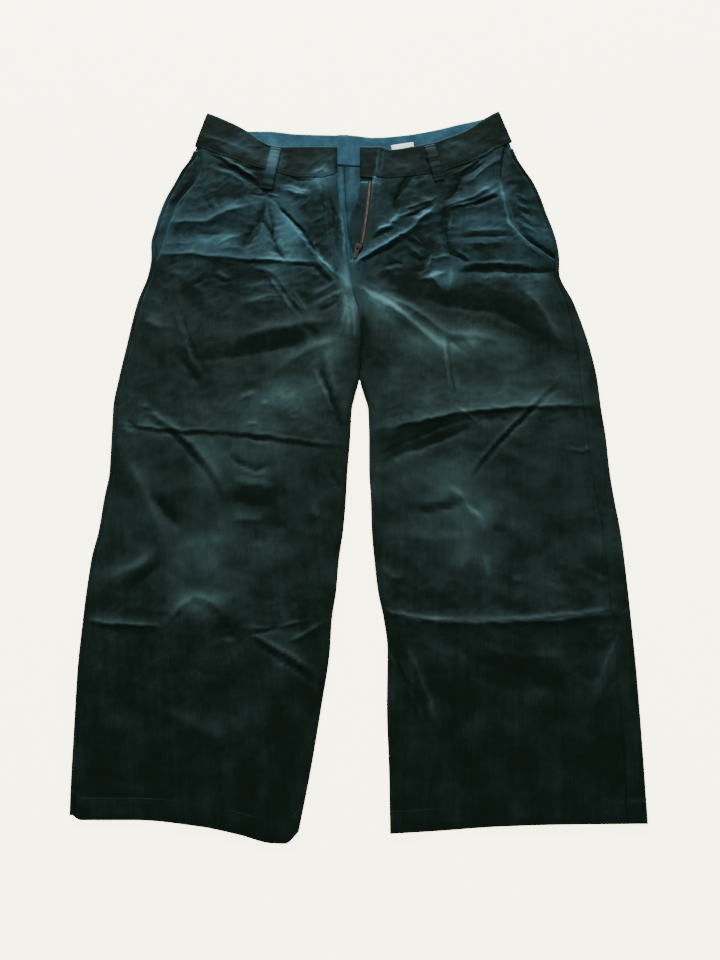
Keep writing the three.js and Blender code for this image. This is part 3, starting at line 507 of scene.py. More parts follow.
HIP_FOLDS = folds((
    # wearer's right: grooves from the side seam to the belt loop, and the pleat's star
    (-1.8, 3, 3, ((-198, 407), (-180, 396), (-160, 382), (-140, 367), (-124, 356))),
    (-1.5, 3, 3, ((-168, 394), (-150, 387), (-135, 381), (-121, 378))),
    (1.6, 3, 4, ((-190, 405), (-165, 392), (-145, 378), (-126, 362))),
    (-1.6, 3, 3, ((-118, 342), (-122, 322), (-127, 304), (-131, 288), (-141, 276), (-146, 260))),
    (-1.4, 3, 3, ((-126, 312), (-116, 302), (-112, 290))),
    (-1.8, 3, 4, ((-114, 340), (-112, 322), (-108, 302), (-110, 284), (-100, 264), (-90, 250))),
    (-1.6, 3, 4, ((-108, 336), (-90, 315), (-74, 298), (-62, 282), (-53, 262))),
    (1.8, 4, 3, ((-104, 336), (-84, 312), (-68, 294), (-57, 276), (-48, 256), (-36, 240), (-24, 226))),
    (-1.6, 3, 3, ((-146, 250), (-120, 251), (-96, 249))),
    (1.4, 3, 3, ((-146, 257), (-118, 254), (-96, 253), (-60, 252), (-48, 250))),
    (-1.2, 3, 3, ((-88, 246), (-68, 247), (-52, 245))),
    (1.4, 4, 4, ((-182, 274), (-162, 285), (-144, 292))),
    (1.5, 3.5, 3.5, ((-104, 357), (-86, 356), (-70, 350), (-60, 344))),
    (-1.2, 3, 3, ((-96, 373), (-78, 366), (-60, 365), (-48, 372))),
    (1.2, 3, 3, ((-118, 350), (-112, 345), (-100, 342))),
    (-1.2, 3, 3, ((-142, 347), (-128, 345), (-119, 343))),
    (-1.3, 3, 3, ((-132, 421), (-116, 414), (-98, 407))),
    (1.0, 4, 4, ((-205, 430), (-180, 424), (-150, 410))),
    (-1.0, 4, 4, ((-92, 404), (-90, 390), (-93, 376))),
    (1.1, 4, 4, ((-62, 374), (-48, 380), (-38, 392))),
    (-1.1, 3, 3, ((-50, 366), (-46, 350), (-42, 330))),
    # wearer's right: creases that hang from the hip over the thigh
    (1.8, 2.5, 2.5, ((-120, 242), (-101, 213), (-86, 191), (-73, 173))),
    (-1.8, 2.5, 3, ((-113, 243), (-95, 214), (-80, 192), (-68, 176))),
    (1.2, 2.5, 2.5, ((-84, 214), (-72, 196), (-62, 180))),
    (-1.4, 3, 3, ((-232, 212), (-217, 168), (-204, 127), (-180, 94))),
    (1.1, 2.5, 2.5, ((-238, 208), (-223, 166), (-210, 126), (-187, 92))),
    (1.4, 2.5, 2.5, ((-57, 114), (-50, 94), (-38, 68), (-28, 45))),
    (-1.4, 2.5, 2.5, ((-50, 116), (-43, 94), (-32, 68), (-22, 47))),
    (1.2, 3, 3, ((-140, 198), (-110, 206), (-88, 203))),
    (-1.1, 3, 3, ((-190, 232), (-170, 224), (-150, 228))),
    # the star of folds at the crotch
    (1.8, 3.5, 3, ((-60, 272), (-48, 254), (-36, 242), (-22, 228))),
    (-1.8, 3.5, 3.5, ((-62, 252), (-46, 233), (-32, 221))),
    (2.0, 3, 3, ((-12, 240), (2, 253), (16, 262), (40, 278), (64, 294))),
    (1.6, 3, 3, ((-16, 248), (-18, 272), (-20, 300), (-24, 330))),
    (-1.4, 3, 3, ((-32, 330), (-30, 300), (-27, 275), (-24, 255))),
    (1.5, 4, 3, ((-12, 214), (-30, 208), (-46, 198), (-62, 191))),
    (-1.5, 4, 4, ((-22, 202), (-38, 190), (-55, 184))),
    (1.2, 3, 3, ((-18, 205), (-17, 182), (-21, 162), (-26, 144))),
    (1.2, 3, 3, ((-9, 204), (-6, 182), (-5, 160), (-5, 140))),
    (2.0, 5, 7, ((-2, 218), (16, 205), (32, 193), (48, 185), (64, 177))),
    (-1.2, 3, 3, ((-26, 244), (-29, 232), (-26, 220))),
    # wearer's left: from the crotch to the waistband and across the hip
    (-1.8, 4, 4, ((112, 378), (124, 372), (130, 360), (127, 349), (117, 340), (107, 333))),
    (1.5, 2.5, 2.5, ((192, 420), (175, 410), (158, 398), (143, 386), (133, 380), (118, 374))),
    (1.5, 2.5, 2.5, ((190, 401), (170, 388), (155, 375), (141, 362))),
    (-1.6, 2.5, 2.5, ((168, 403), (150, 390), (140, 380), (130, 368))),
    (-1.4, 2.5, 2.5, ((172, 396), (158, 386), (146, 376), (136, 365))),
    (1.6, 3, 3, ((66, 305), (80, 314), (92, 323), (105, 334))),
    (1.4, 3, 3, ((45, 303), (50, 312), (62, 318), (76, 322))),
    (-1.5, 3, 3, ((60, 312), (76, 318), (92, 330))),
    (-1.6, 3, 3, ((46, 300), (47, 320), (50, 340), (55, 357), (64, 369), (78, 373))),
    (1.6, 3, 3, ((22, 290), (34, 299), (46, 302))),
    (-1.5, 3, 3, ((18, 282), (30, 289), (42, 296))),
    (-1.5, 3, 3, ((5, 250), (24, 261), (40, 270), (56, 280))),
    (2.2, 3, 2.5, ((114, 326), (136, 331), (158, 339), (183, 353))),
    (-1.8, 3, 3, ((146, 331), (165, 337), (184, 345))),
    (1.4, 2.5, 2.5, ((190, 346), (195, 326), (201, 306), (207, 294), (217, 281))),
    (-1.6, 3.5, 3, ((110, 332), (111, 315), (107, 300), (111, 285), (114, 268))),
    (1.3, 3, 3, ((116, 324), (119, 312), (116, 298), (118, 285))),
    (-1.3, 2.5, 2.5, ((60, 286), (70, 276), (78, 264))),
    (1.2, 2.5, 2.5, ((66, 290), (77, 279), (84, 268))),
    (-1.3, 2.5, 2.5, ((64, 262), (78, 252), (92, 258))),
    (1.6, 3, 3, ((88, 254), (104, 258), (120, 259))),
    (-1.6, 3, 3, ((118, 266), (128, 258), (138, 249))),
    (1.5, 3, 3, ((122, 269), (133, 261), (143, 251))),
    (-2.0, 3.5, 4.5, ((134, 242), (160, 243), (200, 242), (226, 241))),
    (1.5, 3, 3, ((132, 249), (170, 250), (222, 248))),
    (1.8, 4, 4, ((72, 226), (92, 231), (112, 238))),
    (-1.4, 3, 3, ((68, 238), (80, 240), (84, 250))),
    (1.3, 3, 3, ((95, 262), (90, 250), (84, 242))),
    (-1.2, 2.5, 2.5, ((30, 245), (48, 250), (62, 248))),
    (1.2, 2.5, 2.5, ((28, 238), (50, 243), (62, 241))),
    (1.2, 3, 3, ((84, 400), (92, 396), (98, 402))),
    (-1.2, 3, 3, ((80, 412), (84, 398), (96, 388))),
    # wearer's left: the line down the thigh and the small folds by the knee
    (-1.5, 2.5, 2.5, ((112, 158), (113, 130), (116, 100), (120, 68))),
    (1.4, 2.5, 2.5, ((107, 158), (108, 130), (111, 100), (115, 70))),
    (1.4, 2.5, 2.5, ((118, 60), (136, 47), (148, 36))),
    (-1.5, 3, 3, ((16, -8), (60, 14), (104, 34), (142, 44))),
    (1.4, 2.5, 2.5, ((290, 8), (270, 2), (248, 6))),
    (1.4, 2.5, 2.5, ((16, -182), (40, -196), (84, -204), (140, -205))),
    (1.4, 2.5, 2.5, ((140, -205), (214, -202), (270, -196), (318, -188))),
    (1.4, 3, 3, ((22, -214), (34, -238), (46, -262))),
    (-1.4, 3, 3, ((42, -256), (66, -292), (84, -328))),
    (1.3, 3, 3, ((308, -216), (288, -256), (272, -290))),
    (-1.0, 8, 10, ((110, -236), (160, -262), (230, -284))),
    # crinkles beside the left pocket
    (1.1, 2.5, 2.5, ((202, 347), (210, 345), (217, 340))),
    (-1.0, 2.5, 2.5, ((202, 340), (210, 338), (218, 332))),
    (1.1, 2.5, 2.5, ((203, 333), (212, 330), (220, 323))),
    (-1.0, 2.5, 2.5, ((204, 325), (213, 322), (222, 316))),
    (1.1, 2.5, 2.5, ((205, 318), (214, 314), (224, 308))),
    (-1.0, 2.5, 2.5, ((207, 311), (215, 306), (226, 300))),
    (1.0, 2.5, 2.5, ((209, 303), (218, 299), (228, 293))),
))
# Painted highlights and shadows on the pile, as strokes: how much, width to each side, and path.
PAINTED_LIGHT_STROKES = folds((
    (0.40, 6, 6, ((-106, 356), (-86, 353), (-66, 347))),
    (0.30, 8, 8, ((-66, 372), (-52, 362), (-44, 345))),
    (0.25, 3, 3, ((-28, 415), (-24, 380), (-20, 340), (-16, 300), (-12, 262))),
    (-0.45, 7, 7, ((-24, 384), (-12, 384))),
    (0.25, 3, 3, ((-8, 424), (-7, 396), (-10, 360), (-11, 320))),
    (-0.45, 5, 5, ((82, 411), (96, 397), (108, 385), (122, 374), (129, 360), (124, 347), (110, 336))),
    (0.35, 3, 3, ((185, 385), (183, 364), (186, 345), (189, 327), (192, 310), (200, 293),
                  (213, 278), (231, 265))),
    (0.15, 3, 3, ((-203, 385), (-208, 364), (-221, 345), (-233, 327), (-238, 310), (-243, 293))),
    (0.2, 10, 10, ((100, 414), (150, 424))),
    (-0.22, 12, 10, ((-195, 346), (-160, 345), (-128, 344))),
    (0.16, 14, 14, ((-85, 300), (-75, 275))),
    (0.22, 8, 8, ((-60, 372), (-45, 376), (-36, 384))),
    (0.15, 12, 12, ((-180, 428), (-145, 410), (-122, 395))),
    (-0.14, 8, 8, ((-205, 452), (-180, 452), (-160, 444))),
    (-0.14, 10, 12, ((-78, 335), (-60, 314), (-48, 300))),
    (-0.12, 14, 14, ((-200, 238), (-160, 236), (-110, 236))),
    (0.12, 9, 9, ((-208, 284), (-185, 276))),
    (0.25, 7, 7, ((-25, 238), (-14, 224), (-5, 215))),
    (0.30, 9, 9, ((2, 210), (20, 198), (40, 187), (60, 178))),
    (0.2, 8, 8, ((-16, 250), (-15, 230), (-14, 212))),
    (0.2, 8, 8, ((-20, 205), (-40, 196), (-60, 190))),
    (0.12, 10, 10, ((-14, 200), (-14, 150))),
    (-0.25, 8, 8, ((5, 195), (7, 165), (8, 140), (7, 110))),
    (-0.2, 16, 14, ((25, 225), (70, 208), (110, 200), (160, 196))),
    (-0.14, 12, 12, ((95, 405), (110, 385), (125, 365), (115, 345))),
    (0.12, 12, 12, ((150, 360), (170, 352), (180, 345))),
    (0.10, 14, 14, ((140, 310), (170, 310))),
    (-0.12, 10, 10, ((90, 300), (95, 280), (90, 265))),
    (0.15, 10, 10, ((40, 395), (60, 388), (75, 380))),
    (0.25, 8, 8, ((85, 228), (105, 236))),
    (0.15, 6, 6, ((140, 234), (200, 233))),
    (-0.1, 12, 12, ((208, 330), (210, 370), (195, 395))),
    (-0.15, 9, 9, ((60, 280), (80, 270), (100, 262))),
    (0.3, 1.6, 1.6, ((27, 414), (24, 392), (21, 372), (17, 350), (14, 328))),
    (0.3, 1.6, 1.6, ((34, 416), (31, 392), (25, 368))),
    (0.25, 1.6, 1.6, ((26, 420), (25, 405), (24, 385), (22, 370))),
    (0.3, 9, 6, ((0, 366), (14, 364), (34, 360))),
    (-0.42, 20, 14, ((30, 234), (80, 214), (130, 198), (190, 172), (248, 140))),
    (0.25, 16, 16, ((80, 150), (120, 138), (170, 150))),
    (0.1, 12, 12, ((-222, -195), (-195, -188), (-165, -203))),
    (-0.3, 9, 9, ((-155, -212), (-130, -224))),
    (0.14, 24, 24, ((-190, -90), (-170, -150))),
    (0.14, 20, 20, ((120, -60), (130, -110), (120, -150))),
    (0.05, 9, 9, ((128, -60), (150, -95))),
    (-0.2, 9, 14, ((30, 18), (80, 30), (125, 42))),
    (-0.2, 9, 12, ((60, -214), (110, -220), (170, -236), (230, -262))),
    (-0.15, 16, 16, ((-150, -55), (-110, -75), (-95, -100))),
    (-0.2, 16, 12, ((-200, 118), (-160, 126), (-110, 134))),
))

ALL_FOLDS = Folds(MAIN_FOLDS.creases + FINE_FOLDS.creases + HIP_FOLDS.creases)
NO_FOLDS = Folds(())


@dataclass(frozen=True)
class Crumple:
    """Small wrinkles with keen crests between the folds, longer across the body than along it."""

    rise: Table = Table(("y", "rise"), (
        (-460, 0.05), (-330, 0.12), (-240, 0.2), (-190, 0.34), (-120, 0.24), (0, 0.24),
        (60, 0.32), (150, 0.3), (230, 0.45), (400, 0.5), (460, 0.4),
    ))
    crest: float = 0.45
    steep: float = 2.6
    coarse: Ripple = Ripple(30, 6.3)
    coarse_lean: float = 0.5
    coarse_stretch: float = 1.3
    small: Ripple = Ripple(14, 8.7)
    small_lean: float = -0.6
    small_stretch: float = 1.2
    small_share: float = 0.55

    def lift(self, x: np.ndarray, y: np.ndarray) -> np.ndarray:
        """Height of the wrinkles at some places, in mm.

        Args:
            x: Places across, in mm.
            y: Places along, in mm.

        Returns:
            The height there, in mm.
        """
        coarse = self.coarse.at(x + self.coarse_lean * y, self.coarse_stretch * y)
        small = self.small.at(x + self.small_lean * y, self.small_stretch * y)
        coarse, small = (self.crest - self.steep * np.abs(waves) for waves in (coarse, small))
        return self.rise.read("rise", y) * (coarse + self.small_share * small)


CRUMPLE = Crumple()


@dataclass(frozen=True)
class Lay:
    """The shape of the cloth as it lies: heights of the upper side above the table, in mm."""

    cloth: float = 1.6
    hem_cloth: float = 2.5
    band_cloth: float = 2.6
    thin_cloth: float = 1.1
    seam: float = 0.3
    hem_depth: float = 24
    hem_step: float = 4
    side_stack: float = 5.6
    hem_stack: float = 6.3
    waist_from: float = 340
    waist_over: float = 50
    side_rise: float = 55
    crease_outward: float = 14
    crease_inward: float = 10
    crotch_y: float = 92
    pocket_end_y: float = 252
    band_back_top: float = 3
    band_lap: float = 4
    band_proud: float = 0.5
    row_low: float = -440
    row_high: float = 385
    low_bend: float = 70
    high_bend: float = 105
    bend_rounds: int = 8

    def hem_y(self, x: np.ndarray) -> np.ndarray:
        """Height of the hem's edge on the table plan."""
        return np.where(x < 0, HEM_RIGHT.read("y", x), HEM_LEFT.read("y", x))

    def hem_share(self, x: np.ndarray, y: np.ndarray) -> np.ndarray:
        """How much of the turned-up hem a point has: 1 on the hem, 0 above its stitching."""
        return 1 - smooth((y - self.hem_y(x) - self.hem_depth) / self.hem_step)

    def thickness(self, x: np.ndarray, y: np.ndarray) -> np.ndarray:
        """Thickness of the panels' cloth, which is doubled at the hem."""
        return mix(self.cloth, self.hem_cloth, self.hem_share(x, y))

    def stack(self, x: np.ndarray, y: np.ndarray) -> np.ndarray:
        """Height of the folded side edge."""
        share = np.maximum(self.hem_share(x, y), smooth((y - self.waist_from) / self.waist_over))
        return mix(self.side_stack, self.hem_stack, share)

    def floor(self, x: np.ndarray, y: np.ndarray) -> np.ndarray:
        """What the upper pieces lie on: just above the backs or the back of the waistband."""
        band = np.where(y > BAND_BACK.read("y", x) - self.band_lap, self.band_back_top, 0)
        return np.maximum(self.thickness(x, y), band) + self.seam

    def gaps(self, x: np.ndarray, y: np.ndarray, side: Side) -> tuple[np.ndarray, np.ndarray]:
        """Distances of some places from the outer and the inner edge of their leg."""
        return np.abs(x - OUTLINE.read(side.word, y)), np.abs(x - INNER.read(side.word, y))

    def height(self, x: np.ndarray, y: np.ndarray, side: Side, creases: Folds) -> np.ndarray:
        """Height of the upper side of the lay.

        Args:
            x: Places across, in mm.
            y: Places along, in mm.
            side: The leg that the places are on.
            creases: The folds to raise.

        Returns:
            The height there, in mm.
        """
        outward, inward = self.gaps(x, y, side)
        stack = self.stack(x, y)
        swell = smooth((outward - stack / 2) / self.side_rise)
        level = mix(stack, BODY_HEIGHT.read("height", y), swell)
        creased = smooth((outward - stack / 2) / self.crease_outward)
        creased = creased * smooth(inward / self.crease_inward)
        level = level + creased * creases.lift(x, y)
        turn = 1 - np.clip(inward / INNER_EDGE.read("round", y), 0, 1)
        level = mix(INNER_EDGE.read(side.word, y), level, np.sqrt(1 - turn * turn))
        return np.maximum(level, self.floor(x, y) + self.thin_cloth)

    def wrap_end(self, y: np.ndarray, side: Side) -> np.ndarray:
        """Where the back's side wrap ends on the front, at the side seam."""
        edge = OUTLINE.read(side.word, y)
        return edge + side.value * (self.stack(edge, y) / 2 + SIDE_WRAP.read(side.word, y))

    def front_outer(self, y: np.ndarray, side: Side) -> np.ndarray:
        """Outer edge of a front: the side seam, and above it the slant pocket opening."""
        seam = self.wrap_end(y, side) - side.value * self.seam
        return np.where(y > self.pocket_end_y, POCKET.read(side.word, y), seam)

    def waist_seam(self, x: np.ndarray, side: Side) -> np.ndarray:
        """Upper edge of a front, where the waistband is sewn on."""
        return side.pick(BAND_RIGHT, BAND_LEFT).read("y", x) - self.seam

    def rows(self, share: np.ndarray, height: np.ndarray, outer: Edge, inner: Edge, top: Edge,
             ) -> tuple[np.ndarray, np.ndarray]:
        """Places of a panel's grid: its rows bend to follow the hem and the waist seam.

        Args:
            share: Shares across, 0 at the outer and 1 at the inner edge.
            height: Heights of the rows before they bend, in mm.
            outer: Function of y that gives the outer edge.
            inner: Function of y that gives the inner edge.
            top: Function of x that gives the upper edge.

        Returns:
            The places across and along, in mm.
        """
        near_top = smooth((height - self.row_high + self.high_bend) / self.high_bend)
        near_hem = 1 - smooth((height - self.row_low) / self.low_bend)
        x, y = np.zeros_like(height), height.copy()
        for _ in range(self.bend_rounds):
            x = mix(outer(y), inner(y), share)
            y = (height + near_top * (top(x) - self.row_high)
                 + near_hem * (self.hem_y(x) - self.row_low))
        return x, y


def grid(columns: int, rows: int) -> tuple[bmesh.types.BMesh, np.ndarray, np.ndarray]:
    """Makes a flat unit grid.

    Args:
        columns: Number of squares across.
        rows: Number of squares along.

    Returns:
        The grid, and each point's share across and share along.
    """
    bm = bmesh.new()
    bmesh.ops.create_grid(bm, x_segments=columns, y_segments=rows, size=0.5)
    places = np.array([point.co[:2] for point in bm.verts]) + 0.5
    return bm, places[:, 0], places[:, 1]


def close(bm: bmesh.types.BMesh, upper: Points, under: Points) -> None:
    """Moves a grid to its upper side and closes it with the side under it.

    Args:
        bm: The grid.
        upper: The upper side's places across, along and up, in mm.
        under: The other side's places, in mm.
    """
    first = list(bm.verts)
    made = bmesh.ops.duplicate(bm, geom=list(bm.faces) + list(bm.edges) + first)
    twins = made["vert_map"]
    for point, place, below in zip(first, np.stack(upper, 1), np.stack(under, 1)):
        twins[point].co = below
        point.co = place
    copies = [part for part in made["geom"] if isinstance(part, bmesh.types.BMFace)]
    bmesh.ops.reverse_faces(bm, faces=copies)
    bmesh.ops.bridge_loops(bm, edges=[edge for edge in bm.edges if edge.is_boundary])
    bmesh.ops.recalc_face_normals(bm, faces=bm.faces)


def bevel(bm: bmesh.types.BMesh, edges: list, offset: float, segments: int) -> None:
    """Rounds some edges of a mesh by a width in mm, with that many faces across."""
    bmesh.ops.bevel(bm, geom=edges, offset=offset, offset_type="OFFSET", segments=segments,
                    profile=0.5, affect="EDGES", material=-1, clamp_overlap=True)


@dataclass
class Maker:
    """Turns finished meshes into pieces that ride on a body, in metres in the shared frame."""

    shift: Vector

    def piece(self, bm: bmesh.types.BMesh, name: str, slot: Slot, finish: bpy.types.Material,
              body: str = BODY, shade: bool = True) -> bpy.types.Object:
        """Makes an object from a mesh in mm and sets it on its body.

        Args:
            bm: The mesh, which is freed.
            name: Name of the piece.
            slot: The record's slot; not used.
            finish: Its material.
            body: The body that it rides on.
            shade: Whether its faces are shaded smooth.

        Returns:
            The new object.
        """
        bmesh.ops.translate(bm, vec=self.shift, verts=bm.verts)
        bmesh.ops.scale(bm, vec=(MM, MM, MM), verts=bm.verts)
        mesh = bpy.data.meshes.new(name)
        bm.to_mesh(mesh)
        bm.free()
        mesh.materials.append(finish)
        if shade:
            mesh.shade_smooth()
        obj = bpy.data.objects.new(name, mesh)
        bpy.context.scene.collection.objects.link(obj)
        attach(obj, body)
        LOG.info("%s: %d faces", name, len(mesh.polygons))
        return obj

    def places(self, obj: bpy.types.Object) -> tuple[np.ndarray, np.ndarray]:
        """Where a finished piece's points are on the table plan, in mm.

        Args:
            obj: The piece.

        Returns:
            Their places across and along.
        """
        co = np.empty(len(obj.data.vertices) * 3)
        obj.data.vertices.foreach_get("co", co)
        co = co.reshape(-1, 3) / MM
        return co[:, 0] - self.shift.x, co[:, 1] - self.shift.y

    def grain(self, obj: bpy.types.Object, turn: float) -> None:
        """Gives a piece the UV map that its weave follows.

        Args:
            obj: The piece.
            turn: Angle of the wales from straight up the trousers, in radians.
        """
        mesh = obj.data
        x, y = (places * MM for places in self.places(obj))
        across = x * math.cos(turn) + y * math.sin(turn)
        along = y * math.cos(turn) - x * math.sin(turn)
        corner = np.empty(len(mesh.loops), dtype=np.int32)
        mesh.loops.foreach_get("vertex_index", corner)
        layer = mesh.uv_layers.new(name="grain")
        layer.data.foreach_set("uv", np.stack([across[corner], along[corner]], 1).ravel())

    def store(self, obj: bpy.types.Object, name: str, amount: np.ndarray) -> None:
        """Stores an amount at each point of a piece, for its material to read."""
        layer = obj.data.attributes.new(name, "FLOAT", "POINT")
        layer.data.foreach_set("value", amount.astype(np.float32))


# Lighter places of the pile, partly dusty wear and partly painted highlights: middle, half sizes and
# how strongly, in mm.
DUST_AND_HIGHLIGHT_PATCHES = Table(("x", "y", "wide", "high", "amount"), (
    (-95, 285, 28, 44, 0.5), (-185, 280, 40, 20, 0.35), (-150, 330, 64, 12, 0.25),
    (-150, 410, 78, 18, 0.1), (-110, 390, 10, 26, 0.4), (-70, 75, 44, 22, 0.3),
    (-35, 130, 20, 20, 0.35), (-125, 60, 50, 20, 0.2), (-245, 35, 48, 12, 0.15),
    (-125, 30, 48, 10, 0.25), (-175, -10, 26, 32, 0.15), (-130, -5, 48, 18, 0.15),
    (-170, -135, 66, 54, 0.16), (-190, -185, 30, 12, 0.35), (-105, -230, 46, 24, 0.05),
    (35, 185, 24, 22, 0.45), (85, 140, 26, 20, 0.35), (150, 140, 56, 20, 0.25),
    (175, 75, 74, 30, 0.22), (75, 65, 50, 36, 0.12), (115, 225, 18, 20, 0.4),
    (190, 240, 64, 12, 0.15), (170, 295, 52, 18, 0.2), (180, 345, 26, 12, 0.35),
    (45, 310, 32, 20, 0.1), (110, -35, 48, 26, 0.22), (150, -75, 20, 16, 0.3),
    (120, -110, 54, 36, 0.12), (155, -145, 12, 36, 0.15), (225, -170, 70, 14, 0.08),
    (-10, 185, 18, 24, 0.4), (-15, 235, 14, 32, 0.35), (240, 280, 18, 32, 0.1),
    (-250, 315, 12, 38, 0.2), (-45, 365, 24, 18, 0.35), (40, 395, 26, 20, 0.12),
))
# Painted shade: level of the pile from the hems, where it is darkest, to the waist, standing in for
# light that falls off away from the waist end.
PAINTED_FALLOFF = Table(("y", "amount"), (
    (-460, 0.0), (-330, 0.02), (-230, 0.05), (-120, 0.11), (20, 0.14), (130, 0.13), (250, 0.13),
    (330, 0.13), (460, 0.13),
))


@dataclass(frozen=True)
class Wear:
    """How light the pile is, from 0, deep, to 1, pale: dusty wear, with painted light and shade."""

    # Painted shading from the main folds: lighter where they rise, darker where they sink.
    broad: float = 0.06
    fine: float = 0.6
    # Painted highlights on the crests and painted shadows in the troughs of the hip folds, fine folds
    # and wrinkles.
    crest: float = 0.27
    trough: float = 0.2
    power: float = 1.4
    # How strongly the strokes of painted highlights and shadows show.
    strokes: float = 1.3
    mottle: float = 0.1
    clouds: Ripple = Ripple(34, 3.1)
    # Painted light: faces that tilt towards the waist end, where the key light is, are lighter.
    nap: float = 0.7
    cool_from: float = 150
    cool_over: float = 130

    def amount(self, x: np.ndarray, y: np.ndarray) -> np.ndarray:
        """Reads the wear with its painted light and shade at some places.

        Args:
            x: Places across, in mm.
            y: Places along, in mm.

        Returns:
            The wear and painted light and shade there.
        """
        worn = PAINTED_FALLOFF.read("amount", y)
        for cx, cy, wide, high, amount in DUST_AND_HIGHLIGHT_PATCHES.rows:
            worn = worn + amount * np.exp(-((x - cx) / wide) ** 2 - ((y - cy) / high) ** 2)
        # Painted highlights on fold crests and painted shadows in fold troughs, then painted fold
        # shading and painted light strokes.
        lift = HIP_FOLDS.lift(x, y) + self.fine * (FINE_FOLDS.lift(x, y) + CRUMPLE.lift(x, y))
        share = np.where(lift > 0, self.crest, self.trough)
        worn = worn + share * np.sign(lift) * np.abs(lift) ** self.power
        worn = worn + self.broad * MAIN_FOLDS.lift(x, y) + self.strokes * PAINTED_LIGHT_STROKES.lift(x, y)
        return np.clip(worn + self.mottle * self.clouds.at(x, y), 0, 1)

    def cool(self, y: np.ndarray) -> np.ndarray:
        """How blue the cloth is: more so from the thighs up."""
        return smooth((y - self.cool_from) / self.cool_over)


@dataclass(frozen=True)
class Cloud:
    """A soft random pattern: its waves in a metre, how far it is refined, and how roughly."""

    scale: float
    detail: float = 3
    rough: float = 0.5


@dataclass
class Graph:
    """A new material and short ways to add nodes to it."""

    material: bpy.types.Material

    @classmethod
    def named(cls, name: str) -> "Graph":
        """Starts a material that holds only its shader and output.

        Args:
            name: The material's name.

        Returns:
            The graph of its nodes.
        """
        material = bpy.data.materials.new(name)
        material.use_nodes = True
        return cls(material)

    def add(self, kind: str, values: dict | None = None, **settings: Any) -> bpy.types.Node:
        """Adds a node.

        Args:
            kind: The node's type, without its prefix.
            values: Values or sockets for its inputs, by name or number.
            settings: The node's own settings.

        Returns:
            The new node.
        """
        node = self.material.node_tree.nodes.new("ShaderNode" + kind)
        for key, value in settings.items():
            setattr(node, key, value)
        self.fill(node, values or {})
        return node

    def fill(self, node: bpy.types.Node, values: dict) -> None:
        """Sets a node's inputs to values, or links them to sockets.

        Args:
            node: The node.
            values: Values or sockets for its inputs, by name or number.
        """
        for key, value in values.items():
            if isinstance(value, bpy.types.NodeSocket):
                self.material.node_tree.links.new(value, node.inputs[key])
            else:
                node.inputs[key].default_value = value

    def math(self, operation: str, first: Value, second: Value = 0.0, third: Value = 0.0,
             clamp: bool = False) -> bpy.types.NodeSocket:
        """The result of a sum, product or other operation; a clamp keeps it from 0 to 1."""
        values = {0: first, 1: second, 2: third}
        return self.add("Math", values, operation=operation, use_clamp=clamp).outputs[0]

    def less(self, first: Value, second: Value, clamp: bool = False) -> bpy.types.NodeSocket:
        """The first value less the second."""
        return self.math("SUBTRACT", first, second, clamp=clamp)

    def centred(self, value: Value, mean: float = 0.5) -> bpy.types.NodeSocket:
        """A value less its mean."""
        return self.less(value, mean)

    def times(self, first: Value, second: Value) -> bpy.types.NodeSocket:
        """The product of two values."""
        return self.math("MULTIPLY", first, second)

    def plus(self, first: Value, second: Value, share: float, clamp: bool = False,
             ) -> bpy.types.NodeSocket:
        """The first value and a share of the second."""
        return self.math("MULTIPLY_ADD", second, share, first, clamp)

    def noise(self, place: Value, cloud: Cloud) -> bpy.types.NodeSocket:
        """The value of a soft random pattern, from 0 to 1 with a mean of 0.5."""
        values = {"Scale": cloud.scale, "Detail": cloud.detail, "Roughness": cloud.rough}
        return self.add("TexNoise", {"Vector": place, **values}).outputs[0]

    def stored(self, name: str) -> bpy.types.NodeSocket:
        """The amount that a piece stores under a name."""
        return self.add("Attribute", attribute_name=name).outputs["Fac"]

    def place(self) -> bpy.types.NodeSocket:
        """Object coordinates."""
        return self.add("TexCoord").outputs["Object"]

    def stretched(self, place: Value, scale: tuple) -> bpy.types.NodeSocket:
        """Coordinates scaled along each axis."""
        return self.add("Mapping", {"Vector": place, "Scale": scale}).outputs[0]

    def ramp(self, value: Value, stops: tuple) -> bpy.types.NodeSocket:
        """A colour scale.

        Args:
            value: Where on the scale to read.
            stops: Pairs of place and colour.

        Returns:
            The colour.
        """
        node = self.add("ValToRGB", {0: value})
        elements = node.color_ramp.elements
        for element, (place, _) in zip(elements, (stops[0], stops[-1])):
            element.position = place
        for place, _ in stops[1:-1]:
            elements.new(place)
        for element, (_, colour) in zip(elements, stops):
            element.color = (*colour, 1)
        return node.outputs[0]

    def mixed(self, share: Value, first: Value, second: Value) -> bpy.types.NodeSocket:
        """Two colours mixed by a share."""
        node = self.add("Mix", {0: share, 6: first, 7: second}, data_type="RGBA")
        return node.outputs[2]

    def finish(self, colour: Value, height: Value, strength: float, depth: float, values: dict,
               ) -> bpy.types.Material:
        """Sets the shader's colour, relief and other inputs.

        Args:
            colour: Socket that gives the colour.
            height: Socket that gives the relief.
            strength: How strongly the relief shows.
            depth: Depth of the relief, in metres.
            values: The shader's other inputs by name.

        Returns:
            The material.
        """
        bump = self.add("Bump", {"Height": height, "Strength": strength, "Distance": depth})
        shader = self.material.node_tree.nodes["Principled BSDF"]
        self.fill(shader, {"Base Color": colour, "Normal": bump.outputs[0], **values})
        return self.material


